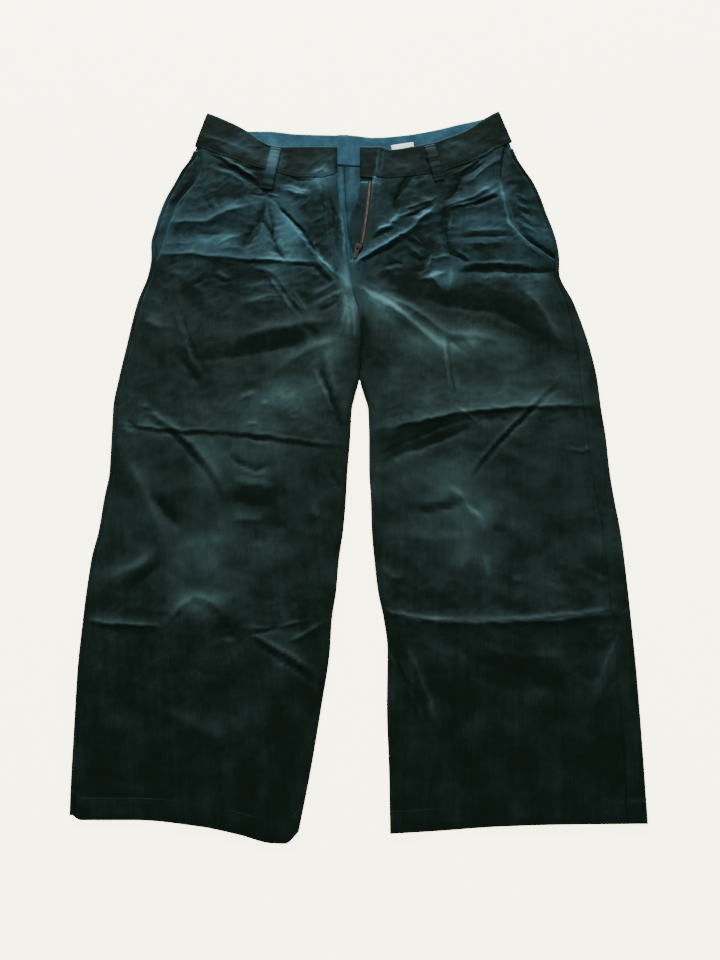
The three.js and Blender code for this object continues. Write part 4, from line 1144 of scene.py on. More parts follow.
@dataclass(frozen=True)
class Corduroy:
    """Fine-wale cotton corduroy with a soft nap."""

    name: str = "corduroy"
    wale: float = 0.0015
    wander: float = 0.002
    deep: Colour = (0.0026, 0.0068, 0.0045)
    dark: Colour = (0.0072, 0.0198, 0.0215)
    teal: Colour = (0.0205, 0.0500, 0.0625)
    pale: Colour = (0.0520, 0.1560, 0.1860)
    leg_dark: Colour = (0.0100, 0.0198, 0.0180)
    leg_teal: Colour = (0.0235, 0.0475, 0.0480)
    leg_pale: Colour = (0.0720, 0.1480, 0.1480)
    stops: tuple[float, ...] = (0.0, 0.2, 0.5, 1.0)
    # Patterns of the pile, and how much each one lightens and darkens it.
    drift: Cloud = Cloud(30)
    fuzz: Cloud = Cloud(1500, 2, 0.7)
    fuzz_tone: float = 0.12
    fuzz_rise: float = 0.5
    mottle: Cloud = Cloud(26, 6, 0.68)
    mottle_tone: float = 0.4
    brush: Cloud = Cloud(1, 4, 0.6)
    brush_stretch: tuple[float, float, float] = (150, 9, 1)
    brush_tone: float = 0.16
    wale_mean: float = 0.6
    wale_tone: float = 0.1
    relief: float = 0.35
    depth: float = 0.0003
    # Patterns and stretch of the two sets of crinkles, how keen they are, and how they break off.
    crinkle_sets: tuple = (
        (Cloud(46, 1, 0.4), (1.0, 1.5, 1.0)), (Cloud(88, 1, 0.4), (1.4, 1.0, 1.0)))
    crinkle_keen: float = 11.0
    crinkle_small: float = 0.6
    breaks: Cloud = Cloud(24, 2, 0.5)
    break_steep: float = 3.4
    break_from: float = 1.45
    # How much lighter the crinkle lines are, as painted highlights, and how high they rise.
    crinkle_tone: float = 0.2
    crinkle_rise: float = 6.0

    def crinkles(self, graph: Graph, place: bpy.types.NodeSocket) -> bpy.types.NodeSocket:
        """The finest creases: short keen lines, strongest where the cloth is most crushed.

        Args:
            graph: The material's nodes.
            place: The coordinates that the lines follow.

        Returns:
            How strong a crease is, from 0 up.
        """
        lines = []
        for cloud, stretch in self.crinkle_sets:
            waves = graph.noise(graph.stretched(place, stretch), cloud)
            off = graph.math("ABSOLUTE", graph.centred(waves))
            lines.append(graph.less(1.0, graph.times(off, self.crinkle_keen), clamp=True))
        keen = graph.plus(lines[0], lines[1], self.crinkle_small)
        breaks = graph.times(graph.noise(place, self.breaks), self.break_steep)
        broken = graph.less(breaks, self.break_from, clamp=True)
        return graph.times(graph.times(keen, broken), graph.stored("crushed"))

    def material(self) -> bpy.types.Material:
        """Makes the material from its nodes.

        Returns:
            The material.
        """
        graph = Graph.named(self.name)
        place = graph.place()
        grain = graph.add("UVMap", uv_map="grain").outputs[0]
        across = graph.add("SeparateXYZ", {0: grain}).outputs[0]
        across = graph.plus(across, graph.centred(graph.noise(place, self.drift)), self.wander)
        phase = graph.times(across, 2 * math.pi / self.wale)
        wave = graph.math("MULTIPLY_ADD", graph.math("SINE", phase), 0.5, 0.5)
        fuzz = graph.noise(place, self.fuzz)
        mottle = graph.noise(place, self.mottle)
        brushed = graph.noise(graph.stretched(grain, self.brush_stretch), self.brush)
        # The stored tone is wear with painted light and shade. Mottle, brushing, fuzz and the wales
        # vary it.
        tone = graph.plus(graph.stored("tone"), graph.centred(mottle), self.mottle_tone)
        tone = graph.plus(tone, graph.centred(brushed), self.brush_tone)
        tone = graph.plus(tone, graph.centred(fuzz), self.fuzz_tone)
        tone = graph.plus(tone, graph.centred(wave, self.wale_mean), self.wale_tone, clamp=True)
        creased = self.crinkles(graph, place)
        # Painted highlights along the finest creases.
        tone = graph.plus(tone, creased, self.crinkle_tone, clamp=True)
        colours = ((self.deep, self.leg_dark, self.leg_teal, self.leg_pale),
                   (self.deep, self.dark, self.teal, self.pale))
        legs, hips = (graph.ramp(tone, tuple(zip(self.stops, row))) for row in colours)
        colour = graph.mixed(graph.stored("cool"), legs, hips)
        relief = graph.plus(graph.plus(wave, fuzz, self.fuzz_rise), creased, self.crinkle_rise)
        return graph.finish(colour, relief, self.relief, self.depth, {
            "Roughness": 0.55, "Specular IOR Level": 0.025, "Sheen Weight": 0.02,
            "Sheen Roughness": 0.4, "Sheen Tint": (0.35, 0.7, 0.7, 1)})


@dataclass(frozen=True)
class Woven:
    """Plain woven cloth: two sets of threads that cross."""

    name: str
    light: Colour
    dark: Colour
    thread: float
    worn: float = 0.0
    even: float = 0.25
    clouds: Cloud = Cloud(60, 5, 0.7)
    stops: tuple[float, float] = (0.35, 0.68)
    weave_share: float = 0.3
    relief: float = 0.3
    depth_share: float = 0.2

    def material(self) -> bpy.types.Material:
        """Makes the material from its nodes.

        Returns:
            The material.
        """
        graph = Graph.named(self.name)
        place = graph.place()
        split = graph.add("SeparateXYZ", {0: place})
        warp, weft = (graph.math("SINE", graph.times(split.outputs[axis], 2 * math.pi / self.thread))
                      for axis in (0, 1))
        weave = graph.math("MULTIPLY_ADD", graph.times(warp, weft), 0.5, 0.5)
        cloud = graph.times(graph.noise(place, self.clouds), 1 - self.weave_share)
        tone = graph.plus(cloud, weave, self.weave_share)
        # The stored tone carries the wear with its painted light and shade onto this cloth.
        tone = graph.plus(tone, graph.centred(graph.stored("tone"), self.even), self.worn, clamp=True)
        colour = graph.ramp(tone, tuple(zip(self.stops, (self.dark, self.light))))
        return graph.finish(colour, weave, self.relief, self.thread * self.depth_share,
                            {"Roughness": 0.85, "Specular IOR Level": 0.08})


@dataclass(frozen=True)
class AgedMetal:
    """Dull brass with a brushed surface."""

    name: str = "zip_metal"
    light: Colour = (0.062, 0.052, 0.047)
    dark: Colour = (0.020, 0.018, 0.017)
    lines: Cloud = Cloud(1, 4, 0.6)
    line_stretch: tuple[float, float, float] = (600, 60, 600)
    stains: Cloud = Cloud(260, 4, 0.6)
    stain_share: float = 0.5
    stops: tuple[float, float] = (0.3, 0.7)
    relief: float = 0.15
    depth: float = 0.0001

    def material(self) -> bpy.types.Material:
        """Makes the material from its nodes.

        Returns:
            The material.
        """
        graph = Graph.named(self.name)
        place = graph.place()
        lines = graph.noise(graph.stretched(place, self.line_stretch), self.lines)
        stain = graph.times(graph.noise(place, self.stains), self.stain_share)
        tone = graph.plus(stain, lines, 1 - self.stain_share, clamp=True)
        colour = graph.ramp(tone, tuple(zip(self.stops, (self.dark, self.light))))
        return graph.finish(colour, lines, self.relief, self.depth,
                            {"Roughness": 0.34, "Metallic": 0.9})


@dataclass
class Wardrobe:
    """The finished materials, one of each."""

    corduroy: bpy.types.Material
    facing: bpy.types.Material
    reverse: bpy.types.Material
    tape: bpy.types.Material
    metal: bpy.types.Material
    teeth: bpy.types.Material
    label: bpy.types.Material
    thread: bpy.types.Material

    @classmethod
    def filled(cls) -> "Wardrobe":
        """Makes every finish.

        Returns:
            The wardrobe.
        """
        finishes = {
            "corduroy": Corduroy(),
            "facing": Woven("facing", (0.034, 0.108, 0.150), (0.011, 0.042, 0.064), 0.0007, 0.6),
            "reverse": Woven("corduroy_reverse", (0.026, 0.080, 0.105), (0.006, 0.022, 0.030),
                             0.0009, 0.7),
            "tape": Woven("zip_tape", (0.033, 0.037, 0.026), (0.013, 0.017, 0.013), 0.0006),
            "metal": AgedMetal(),
            "teeth": AgedMetal("zip_teeth", (0.26, 0.20, 0.175), (0.08, 0.062, 0.055)),
            "label": Woven("label", (0.90, 0.93, 0.92), (0.74, 0.80, 0.82), 0.0006),
            "thread": Woven("thread", (0.022, 0.060, 0.064), (0.008, 0.026, 0.027), 0.0004),
        }
        return cls(**{word: finish.material() for word, finish in finishes.items()})


@dataclass
class Cloth:
    """What every piece of cloth is made from: the lay, the maker, the wear with its painted light and
    shade, and the finishes.
    """

    lay: Lay
    maker: Maker
    wear: Wear
    wardrobe: Wardrobe
    slow: Ripple = Ripple(46, 1.7)
    slow_rise: float = 0.5
    quick: Ripple = Ripple(19, 5.3)
    quick_rise: float = 0.2
    calm_outward: tuple[float, float] = (6, 30)
    calm_inward: tuple[float, float] = (4, 20)
    calm_hem: float = 0.7

    def piece(self, bm: bmesh.types.BMesh, upper: Points, under: Points, node: str,
              turn: float = 0.0, less: float = 0.0, slot: Slot = Slot.CORDUROY,
              finish: bpy.types.Material | None = None) -> bpy.types.Object:
        """Closes a grid of cloth, gives it its grain, wear and painted light and shade, and lets it
        stand for its node.

        Args:
            bm: The grid.
            upper: Places across, along and up of its upper side, in mm.
            under: The same of the side under it.
            node: Name of the node.
            turn: Angle of the wales, in radians.
            less: How much darker its tone is than what lies around it.
            slot: The record's slot; passed on but not used.
            finish: Its material, or None for corduroy.

        Returns:
            The piece.
        """
        close(bm, upper, under)
        obj = self.maker.piece(bm, node + "_cloth", slot, finish or self.wardrobe.corduroy)
        self.maker.grain(obj, turn)
        x, y = self.maker.places(obj)
        # Painted light: the stored tone is lighter on faces that tilt towards the waist end.
        normal = np.empty(len(obj.data.vertices) * 3)
        obj.data.vertices.foreach_get("normal", normal)
        nap = self.wear.nap * normal.reshape(-1, 3)[:, 1]
        self.maker.store(obj, "tone", np.clip(self.wear.amount(x, y) + nap - less, 0, 1))
        self.maker.store(obj, "crushed", CRUMPLE.rise.read("rise", y))
        self.maker.store(obj, "cool", self.wear.cool(y))
        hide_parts(node)
        return obj

    def line(self, obj: bpy.types.Object, finish: bpy.types.Material, inside: Callable) -> None:
        """Gives some faces of a piece another finish.

        Args:
            obj: The piece.
            finish: The other material.
            inside: Function of a face that says whether it takes it.
        """
        obj.data.materials.append(finish)
        for face in obj.data.polygons:
            face.material_index = 1 if inside(face) else 0

    def creased(self, x: np.ndarray, y: np.ndarray, side: Side) -> np.ndarray:
        """Upper side of the lay with all its folds and the cloth's own soft waves.

        Args:
            x: Places across, in mm.
            y: Places along, in mm.
            side: The leg that the places are on.

        Returns:
            The height there, in mm.
        """
        lay = self.lay
        calm = 1 - self.calm_hem * lay.hem_share(x, y)
        for gap, (start, over) in zip(lay.gaps(x, y, side), (self.calm_outward, self.calm_inward)):
            calm = calm * smooth((gap - start) / over)
        waves = self.slow_rise * self.slow.at(x, y) + self.quick_rise * self.quick.at(x, y)
        level = lay.height(x, y, side, ALL_FOLDS) + calm * (waves + CRUMPLE.lift(x, y))
        return np.maximum(level, lay.floor(x, y) + lay.thin_cloth)


@dataclass
class FrontPanel:
    """One front: from the side seam to the inseam, with the slant pocket cut from its corner."""

    side: Side
    cloth: Cloth
    columns: int = 148
    rows: int = 330
    crowd: float = 1.3
    overlap: float = 0.2
    tuck: float = 1.6
    least: float = 0.7
    side_seam: Dip = Dip(0.4, 1.2)
    pocket_row: Dip = Dip(0.3, 1.3)
    pocket_inset: float = 6
    pocket_over: float = 6
    pocket_edge: Turn = Turn(1.3, 3)
    hem_row: Dip = Dip(0.35, 1.4)
    hem_edge: Turn = Turn(1.1, 3)
    waist_row: Dip = Dip(0.1, 1.2)
    waist_drop: float = 0.4
    cuts: tuple = ((0.33, 0.93, 0.225), (0.32, 0.93, 0.213))

    def build(self) -> bpy.types.Object:
        """Builds and dresses the panel.

        Returns:
            The piece.
        """
        lay, side = self.cloth.lay, self.side
        bm, across, along = grid(self.columns, self.rows)
        x, y = lay.rows(
            1 - (1 - across) ** self.crowd, ROW_PLAN.read("y", along),
            outer=lambda at: lay.front_outer(at, side),
            inner=lambda at: INNER.read(side.word, at) + side.value * self.overlap,
            top=lambda at: lay.waist_seam(at, side) + self.tuck,
        )
        floor = lay.floor(x, y)
        z = np.maximum(self.cloth.creased(x, y, side) - self.relief(x, y), floor + self.least)
        under = np.maximum(z - lay.thickness(x, y), floor)
        obj = self.cloth.piece(bm, (x, y, z), (x, y, under), f"front_{side.word}", side.pick(*WALES))
        wide, high, area = side.pick(*self.cuts)
        return obj

    def relief(self, x: np.ndarray, y: np.ndarray) -> np.ndarray:
        """How far seams, rows of stitching and turned edges pull the cloth down.

        Args:
            x: Places across, in mm.
            y: Places along, in mm.

        Returns:
            The depth there, in mm.
        """
        lay, side = self.cloth.lay, self.side
        outward = (x - lay.front_outer(y, side)) * side.value
        above = y - lay.hem_y(x)
        below = lay.waist_seam(x, side) - y
        pocket = self.pocket_row.at(outward - self.pocket_inset) + self.pocket_edge.at(outward)
        at_pocket = smooth((y - lay.pocket_end_y) / self.pocket_over)
        return (mix(self.side_seam.at(outward), pocket, at_pocket)
                + self.hem_row.at(above - lay.hem_depth) + self.hem_edge.at(above)
                + self.waist_row.at(below) + self.waist_drop * smooth(-below / self.tuck))


@dataclass
class BackPanel:
    """One back: flat on the table, rolled up at the side and lapped over the front."""

    side: Side
    cloth: Cloth
    columns: int = 72
    rows: int = 300
    overlap: float = 0.2
    flat_share: float = 0.62
    roll_share: float = 0.2
    dent_share: float = 0.25
    dent_most: float = 0.5
    lap_edge: Dip = Dip(0.7, 1.6)
    inside_top: float = 3.5
    inside_slope: float = 0.5
    cuts: tuple = ((0.35, 0.94, 0.238), (0.36, 0.94, 0.252))

    def build(self) -> bpy.types.Object:
        """Builds and dresses the panel.

        Returns:
            The piece.
        """
        lay, side = self.cloth.lay, self.side
        bm, across, along = grid(self.columns, self.rows)
        height = mix(lay.row_low, lay.row_high, along)
        edges = {"outer": self.fold_edge, "inner": self.centre,
                 "top": lambda at: BAND_BACK.read("y", at) - lay.seam}
        x, y = lay.rows(1 - np.clip(across / self.flat_share, 0, 1), height, **edges)
        edge, edge_y = lay.rows(np.zeros_like(height), height, **edges)
        flat = across <= self.flat_share
        past = across - self.flat_share
        roll = np.clip(past / self.roll_share, 0, 1) * math.pi
        past = past - self.roll_share
        lap = np.clip(past / (1 - self.flat_share - self.roll_share), 0, 1)
        cloth = np.where(flat, lay.thickness(x, y), lay.thickness(edge, edge_y))
        radius = lay.stack(edge, edge_y) / 2
        dents = np.minimum(np.abs(MAIN_FOLDS.lift(x, y)) * self.dent_share, self.dent_most)
        end = lay.wrap_end(edge_y, side)
        lap_x = mix(edge, end, lap)
        lap_z = self.cloth.creased(lap_x, edge_y, side)
        sides = []
        for inset, level, dip in ((0, dents, self.lap_edge.at(end - lap_x)), (1, cloth, 0)):
            r = radius - inset * cloth
            rolled_x, rolled_z = edge - side.value * np.sin(roll) * r, radius - np.cos(roll) * r
            px = np.where(flat, x, np.where(lap > 0, lap_x, rolled_x))
            pz = np.where(flat, level, np.where(lap > 0, lap_z - inset * cloth - dip, rolled_z))
            sides.append((px, np.where(flat, y, edge_y), pz))
        obj = self.cloth.piece(bm, *sides, f"back_{side.word}", side.pick(*WALES))
        top = self.inside_top * MM
        self.cloth.line(obj, self.cloth.wardrobe.reverse,
                        lambda face: face.normal.z > self.inside_slope and face.center.z < top)
        wide, high, area = side.pick(*self.cuts)
        return obj

    def fold_edge(self, y: np.ndarray) -> np.ndarray:
        """Where the flat cloth starts to roll up at the side."""
        edge = OUTLINE.read(self.side.word, y)
        return edge + self.side.value * self.cloth.lay.stack(edge, y) / 2

    def centre(self, y: np.ndarray) -> np.ndarray:
        """Inner edge of the flat cloth: the inseam, and above it the seat seam.

        Args:
            y: Places along, in mm.

        Returns:
            The edge, in mm across.
        """
        inseam = INNER.read(self.side.word, y)
        edge = np.where(y > self.cloth.lay.crotch_y, CENTRE_BACK.read("x", y), inseam)
        return edge + self.side.value * self.overlap


@dataclass
class PocketFacing:
    """The side piece that shows between the slant opening and the side seam."""

    side: Side
    cloth: Cloth
    columns: int = 36
    rows: int = 110
    under: float = 8
    slack: float = 0.8
    step: float = 12
    low: float = 252
    high: float = 404
    bend_from: float = 380
    crinkles: Ripple = Ripple(13, 8.4)
    crinkle_rise: float = 0.7
    crinkle_stretch: tuple[float, float] = (0.6, 1.6)
    side_seam: Dip = Dip(0.6, 1.6)
    cuts: tuple = ((0.062, 0.16, 0.0034), (0.075, 0.165, 0.0064))

    def build(self) -> bpy.types.Object:
        """Builds and dresses the facing.

        Returns:
            The piece.
        """
        lay, side = self.cloth.lay, self.side
        bm, share, along = grid(self.columns, self.rows)
        height = mix(self.low, self.high, along)
        bend = smooth((height - self.bend_from) / (self.high - self.bend_from))
        x, y = np.zeros_like(height), height.copy()
        for _ in range(lay.bend_rounds):
            edge = lay.wrap_end(y, side) + side.value * lay.seam
            x = mix(edge, POCKET.read(side.word, y) + side.value * self.under, share)
            y = height + bend * (lay.waist_seam(x, side) - self.high)
        shown = smooth((POCKET.read(side.word, y) - x) * side.value / self.step)
        wide, high = self.crinkle_stretch
        crinkles = self.crinkle_rise * self.crinkles.at(x * wide, y * high) * shown
        folded = self.cloth.creased(x, y, side)
        hidden = np.minimum(folded, lay.height(x, y, side, NO_FOLDS))
        hidden = hidden - lay.cloth - lay.seam - self.slack
        z = mix(hidden, folded + crinkles, shown)
        z = z - self.side_seam.at((x - lay.wrap_end(y, side)) * side.value)
        floor = lay.floor(x, y)
        z = np.maximum(z, floor + lay.thin_cloth)
        under = np.maximum(z - lay.thin_cloth, floor)
        obj = self.cloth.piece(bm, (x, y, z), (x, y, under), f"pocket_facing_{side.word}")
        wide, high, area = side.pick(*self.cuts)
        return obj


@dataclass
class FrontBand:
    """One half of the waistband in front."""

    side: Side
    cloth: Cloth
    columns: int = 150
    rows: int = 34
    tall: float = 46
    body_top: float = 420
    top_level: float = 7.4
    settle: float = 1.2
    waves: Ripple = Ripple(24, 2.2)
    wave_rise: float = 0.4
    crumpled: float = 0.9
    fold_fade: float = 0.3
    fold_from: float = 4
    fold_over: float = 14
    side_level: float = 4.8
    side_round: float = 10
    end_level: float = 6.4
    end_from: float = 20
    end_over: float = 4
    top_edge: Turn = Turn(0.9, 2.6)
    end_edge: Turn = Turn(0.9, 2.6)
    seam_edge: Turn = Turn(0.3, 1.4)
    row: Dip = Dip(0.22, 1.2)
    top_inset: float = 5
    seam_inset: float = 3
    less_worn: float = 0.15
    ends: tuple = ((-213, -28), (200, 2))
    cuts: tuple = ((0.19, 0.048), (0.205, 0.048))

    @property
    def table(self) -> Table:
        """The band's stations."""
        return self.side.pick(BAND_RIGHT, BAND_LEFT)

    @property
    def span(self) -> tuple[float, float]:
        """Where the band starts at the side and ends at the fly."""
        return self.side.pick(*self.ends)

    def station(self, at: np.ndarray, up: np.ndarray) -> tuple[np.ndarray, np.ndarray]:
        """A place on the band, by its x at the seam and its share of the band's height."""
        x, y, top_x, top_y = (self.table.read(column, at) for column in STATION)
        return mix(x, top_x, up), mix(y, top_y, up)

    def level(self, x: np.ndarray, y: np.ndarray, up: np.ndarray) -> np.ndarray:
        """Upper side of the band without its turned edges.

        Args:
            x: Places across, in mm.
            y: Places along, in mm.
            up: Shares of the band's height, from its seam to its top edge.

        Returns:
            The height there, in mm.
        """
        lay = self.cloth.lay
        edge = np.abs(x - OUTLINE.read(self.side.word, y))
        body = lay.height(x, np.minimum(y, self.body_top), self.side, NO_FOLDS) + lay.band_proud
        level = mix(body, self.top_level, smooth(up * self.settle))
        level = level + self.wave_rise * self.waves.at(x, y) + self.crumpled * CRUMPLE.lift(x, y)
        folded = (1 - self.fold_fade * up) * smooth((edge - self.fold_from) / self.fold_over)
        level = level + folded * ALL_FOLDS.lift(x, y)
        turn = 1 - np.clip(edge / self.side_round, 0, 1)
        level = mix(self.side_level, level, np.sqrt(1 - turn * turn))
        if self.side is Side.RIGHT:
            return level
        return mix(self.end_level, level, smooth((x - self.end_from) / self.end_over))

    def top(self, at: np.ndarray, up: np.ndarray) -> np.ndarray:
        """Upper side of the band with its turned edges.

        Args:
            at: Places across at the seam, in mm.
            up: Shares of the band's height.

        Returns:
            The height there, in mm.
        """
        seam_gap, edge_gap = up * self.tall, (1 - up) * self.tall
        return (self.level(*self.station(at, up), up) - self.top_edge.at(edge_gap)
                - self.seam_edge.at(seam_gap) - self.end_edge.at(np.abs(at - self.span[1]))
                - self.row.at(edge_gap - self.top_inset) - self.row.at(seam_gap - self.seam_inset))

    def build(self) -> bpy.types.Object:
        """Builds and dresses the band.

        Returns:
            The piece.
        """
        lay, side = self.cloth.lay, self.side
        bm, across, up = grid(self.columns, self.rows)
        at = mix(*self.span, across)
        x, y = self.station(at, up)
        z = self.top(at, up)
        under = np.maximum(z - lay.band_cloth, lay.band_back_top + lay.seam)
        obj = self.cloth.piece(bm, (x, y, z), (x, y, under), f"waistband_front_{side.word}",
                               ACROSS, self.less_worn)
        side.pick(*self.cuts)
        return obj


@dataclass
class BackBand:
    """The back of the waistband, face down, with its paler facing up."""

    cloth: Cloth
    columns: int = 210
    rows: int = 22
    ends: tuple[float, float] = (-213, 200)
    tall: float = 43
    edge: Turn = Turn(0.8, 2.4)
    under_edge: Turn = Turn(0.5, 1.6)
    row: Dip = Dip(0.3, 1.1)
    row_inset: float = 4
    waves: Ripple = Ripple(12, 4.4)
    wave_depth: float = 0.15
    loop_x: float = -20
    loop_reach: float = 14
    loop_mark: Dip = Dip(0.25, 2)
    seat_x: float = -4
    seat_seam: Dip = Dip(0.2, 2)
    channel: float = 7.3
    channel_depth: float = 1.3
    rim_slope: float = 0.35

    def build(self) -> bpy.types.Object:
        """Builds and dresses the band.

        Returns:
            The piece.
        """
        bm, across, up = grid(self.columns, self.rows)
        at = mix(*self.ends, across)
        x, y = (mix(BAND_BACK.read(low, at), BAND_BACK.read(high, at), up)
                for low, high in (("x", "topX"), ("y", "topY")))
        edge_gap = (1 - up) * self.tall
        end_gap = np.minimum(at - self.ends[0], self.ends[1] - at)
        loop_gap = np.abs(at - self.loop_x)
        z = (self.cloth.lay.band_back_top - self.edge.at(edge_gap) - self.edge.at(end_gap)
             - self.row.at(edge_gap - self.row_inset) - self.wave_depth * (1 + self.waves.at(x, y))
             - self.loop_mark.at(loop_gap - self.loop_reach) - self.seat_seam.at(at - self.seat_x))
        under = np.where(loop_gap < self.channel, self.channel_depth, 0.0)
        under = under + self.under_edge.at(edge_gap)
        obj = self.cloth.piece(bm, (x, y, z), (x, y, under), "waistband_back", ACROSS,
                               slot=Slot.FACING, finish=self.cloth.wardrobe.facing)
        self.cloth.line(obj, self.cloth.wardrobe.corduroy,
                        lambda face: face.normal.z < self.rim_slope)
        return obj


@dataclass
class FrontLoop:
    """A belt loop over a front band, tacked at both ends."""

    cloth: Cloth
    band: FrontBand
    top: tuple[float, float]
    bottom: tuple[float, float]
    columns: int = 14
    rows: int = 52
    width: float = 14
    tall: float = 60
    thick: float = 1.8
    lift: float = 1.0
    ease: float = 0.2
    probes: int = 5
    side_edge: Turn = Turn(0.7, 1.8)
    end_edge: Turn = Turn(0.6, 1.8)
    row: Dip = Dip(0.2, 0.9)
    row_inset: float = 2.4
    tack: Dip = Dip(0.4, 1.6)
    tack_inset: float = 3.4

    def ground(self, x: np.ndarray, y: np.ndarray) -> np.ndarray:
        """What the loop lies on: the band, and below it the panel.

        Args:
            x: Places across, in mm.
            y: Places along, in mm.

        Returns:
            The height there, in mm.
        """
        seam, edge = self.band.table.read("y", x), self.band.table.read("topY", x)
        up = (y - seam) / (edge - seam)
        panel = self.cloth.creased(x, y, self.band.side) + self.cloth.lay.band_proud
        return np.where(up > 0, self.band.level(x, y, up), panel)

    def place(self, across: np.ndarray, down: np.ndarray) -> tuple[np.ndarray, np.ndarray]:
        """A place on the loop, by its share across and its share from the top end down.

        Args:
            across: Shares across.
            down: Shares from the top end down.

        Returns:
            The place across and along, in mm.
        """
        way = np.subtract(self.bottom, self.top)
        offset = (across - 0.5) * self.width / math.hypot(*way)
        return (self.top[0] + way[0] * down - way[1] * offset,
                self.top[1] + way[1] * down + way[0] * offset)

    def rise(self, down: np.ndarray) -> np.ndarray:
        """Height of the loop's underside at shares from the top end down.

        Args:
            down: Shares from the top end down.

        Returns:
            The height there, in mm.
        """
        highest = np.max([self.ground(*self.place(np.full_like(down, share), down))
                          for share in np.linspace(0, 1, self.probes)], axis=0)
        return highest + self.cloth.lay.seam + self.ease + self.lift * np.sin(math.pi * down)

    def build(self) -> bpy.types.Object:
        """Builds and dresses the loop, lower along its folded edges.

        Returns:
            The piece.
        """
        bm, across, down = grid(self.columns, self.rows)
        x, y = self.place(across, down)
        side_gap = (0.5 - np.abs(across - 0.5)) * self.width
        end_gap = (0.5 - np.abs(down - 0.5)) * self.tall
        under = self.rise(down)
        z = (under + self.thick - self.side_edge.at(side_gap) - self.end_edge.at(end_gap)
             - self.row.at(side_gap - self.row_inset) - self.tack.at(end_gap - self.tack_inset))
        word = self.band.side.word
        obj = self.cloth.piece(bm, (x, y, z), (x, y, under), f"belt_loop_front_{word}", ACROSS)
        return obj


@dataclass
class BackLoop:
    """The belt loop at the centre back, between the band and the table."""

    cloth: Cloth
    columns: int = 8
    rows: int = 30
    x: float = -20
    width: float = 14
    thick: float = 1.0
    proud: float = 1.5
    edge: Turn = Turn(0.35, 1.2)

    def build(self) -> bpy.types.Object:
        """Builds and dresses the loop.

        Returns:
            The piece.
        """
        low, high = (float(BAND_BACK.read(column, np.array(self.x))) for column in ("y", "topY"))
        high = high + self.proud
        bm, across, along = grid(self.columns, self.rows)
        x = self.x + (across - 0.5) * self.width
        y = mix(low, high, along)
        side_gap = (0.5 - np.abs(across - 0.5)) * self.width
        z = self.thick - self.edge.at(side_gap) - self.edge.at(high - y)
        obj = self.cloth.piece(bm, (x, y, z), (x, y, np.zeros_like(z)), "belt_loop_back", ACROSS)
        return obj


@dataclass
class FlyShield:
    """The strip behind the zip that shows in the open fly."""

    cloth: Cloth
    columns: int = 16
    rows: int = 50
    top: float = 4.4
    low: float = 262
    high: float = 362
    under: float = 8
    edge: Turn = Turn(0.5, 2)

    def build(self) -> bpy.types.Object:
        """Builds and dresses the shield.

        Returns:
            The piece.
        """
        bm, share, along = grid(self.columns, self.rows)
        y = mix(self.low, self.high, along)
        edge = SHIELD.read("x", y)
        x = mix(edge, INNER.read("left", y) + self.under, share)
        z = self.top - self.edge.at(x - edge)
        under = np.full_like(z, self.top - self.cloth.lay.thin_cloth)
        obj = self.cloth.piece(bm, (x, y, z), (x, y, under), "fly_shield")
        return obj


@dataclass
class ZipTape:
    """One woven tape of the zip."""

    side: Side
    cloth: Cloth
    columns: int = 12
    rows: int = 90
    low: float = 270
    high: float = 362
    spans: tuple = ((-10.5, -1.5), (-5.9, 3.1))
    left_under: float = 4.7
    ease: float = 0.5
    thick: float = 0.8

    def build(self) -> bpy.types.Object:
        """Builds and dresses the tape.

        Returns:
            The piece.
        """
        lay, side = self.cloth.lay, self.side
        bm, across, along = grid(self.columns, self.rows)
        y = mix(self.low, self.high, along)
        x = INNER.read(side.word, y) + mix(*side.pick(*self.spans), across)
        if side is Side.LEFT:
            under = np.full_like(x, self.left_under)
        else:
            front = lay.height(x, y, side, MAIN_FOLDS)
            under = np.maximum(front - lay.cloth - lay.seam - self.ease - self.thick, lay.floor(x, y))
        obj = self.cloth.piece(bm, (x, y, under + self.thick), (x, y, under), f"zip_tape_{side.word}",
                               slot=Slot.ZIP_TAPE, finish=self.cloth.wardrobe.tape)
        side.pick("back_right", "fly_shield")
        return obj


@dataclass
class Copies:
    """One small shape set down many times and joined into one mesh."""

    template: bmesh.types.BMesh

    @classmethod
    def bead(cls, width: float, length: float, height: float) -> "Copies":
        """Starts from one stitch: a small round bead, long along y.

        Args:
            width: Size across, in mm.
            length: Size along, in mm.
            height: Height, in mm.

        Returns:
            The shape, ready to be set down.
        """
        bm = bmesh.new()
        bmesh.ops.create_uvsphere(bm, u_segments=6, v_segments=4, radius=0.5)
        bmesh.ops.scale(bm, vec=(width, length, height), verts=bm.verts)
        return cls(bm)

    @classmethod
    def block(cls, width: float, length: float, height: float, edge: float) -> "Copies":
        """Starts from one block with bevelled edges.

        Args:
            width: Size across, in mm.
            length: Size along, in mm.
            height: Height, in mm.
            edge: Width of the bevels, in mm.

        Returns:
            The shape, ready to be set down.
        """
        bm = bmesh.new()
        bmesh.ops.create_cube(bm, size=1)
        bmesh.ops.scale(bm, vec=(width, length, height), verts=bm.verts)
        bevel(bm, list(bm.edges), edge, 1)
        return cls(bm)

    def joined(self, places: np.ndarray, turns: np.ndarray, tilts: np.ndarray) -> bmesh.types.BMesh:
        """Sets the shape down at each place.

        Args:
            places: Middle of each copy, in mm.
            turns: Turn of each copy in the plan, in radians.
            tilts: Rise of each copy along its length, as a slope.

        Returns:
            All copies in one mesh.
        """
        mesh = bpy.data.meshes.new("copies")
        self.template.to_mesh(mesh)
        self.template.free()
        bm = bmesh.new()
        for place, turn, tilt in zip(places, turns, tilts):
            start = len(bm.verts)
            bm.from_mesh(mesh)
            bm.verts.ensure_lookup_table()
            move = (Matrix.Translation(Vector(place)) @ Matrix.Rotation(turn, 4, "Z")
                    @ Matrix.Rotation(math.atan(tilt), 4, "X"))
            bmesh.ops.transform(bm, matrix=move, verts=bm.verts[start:])
        bpy.data.meshes.remove(mesh)
        return bm


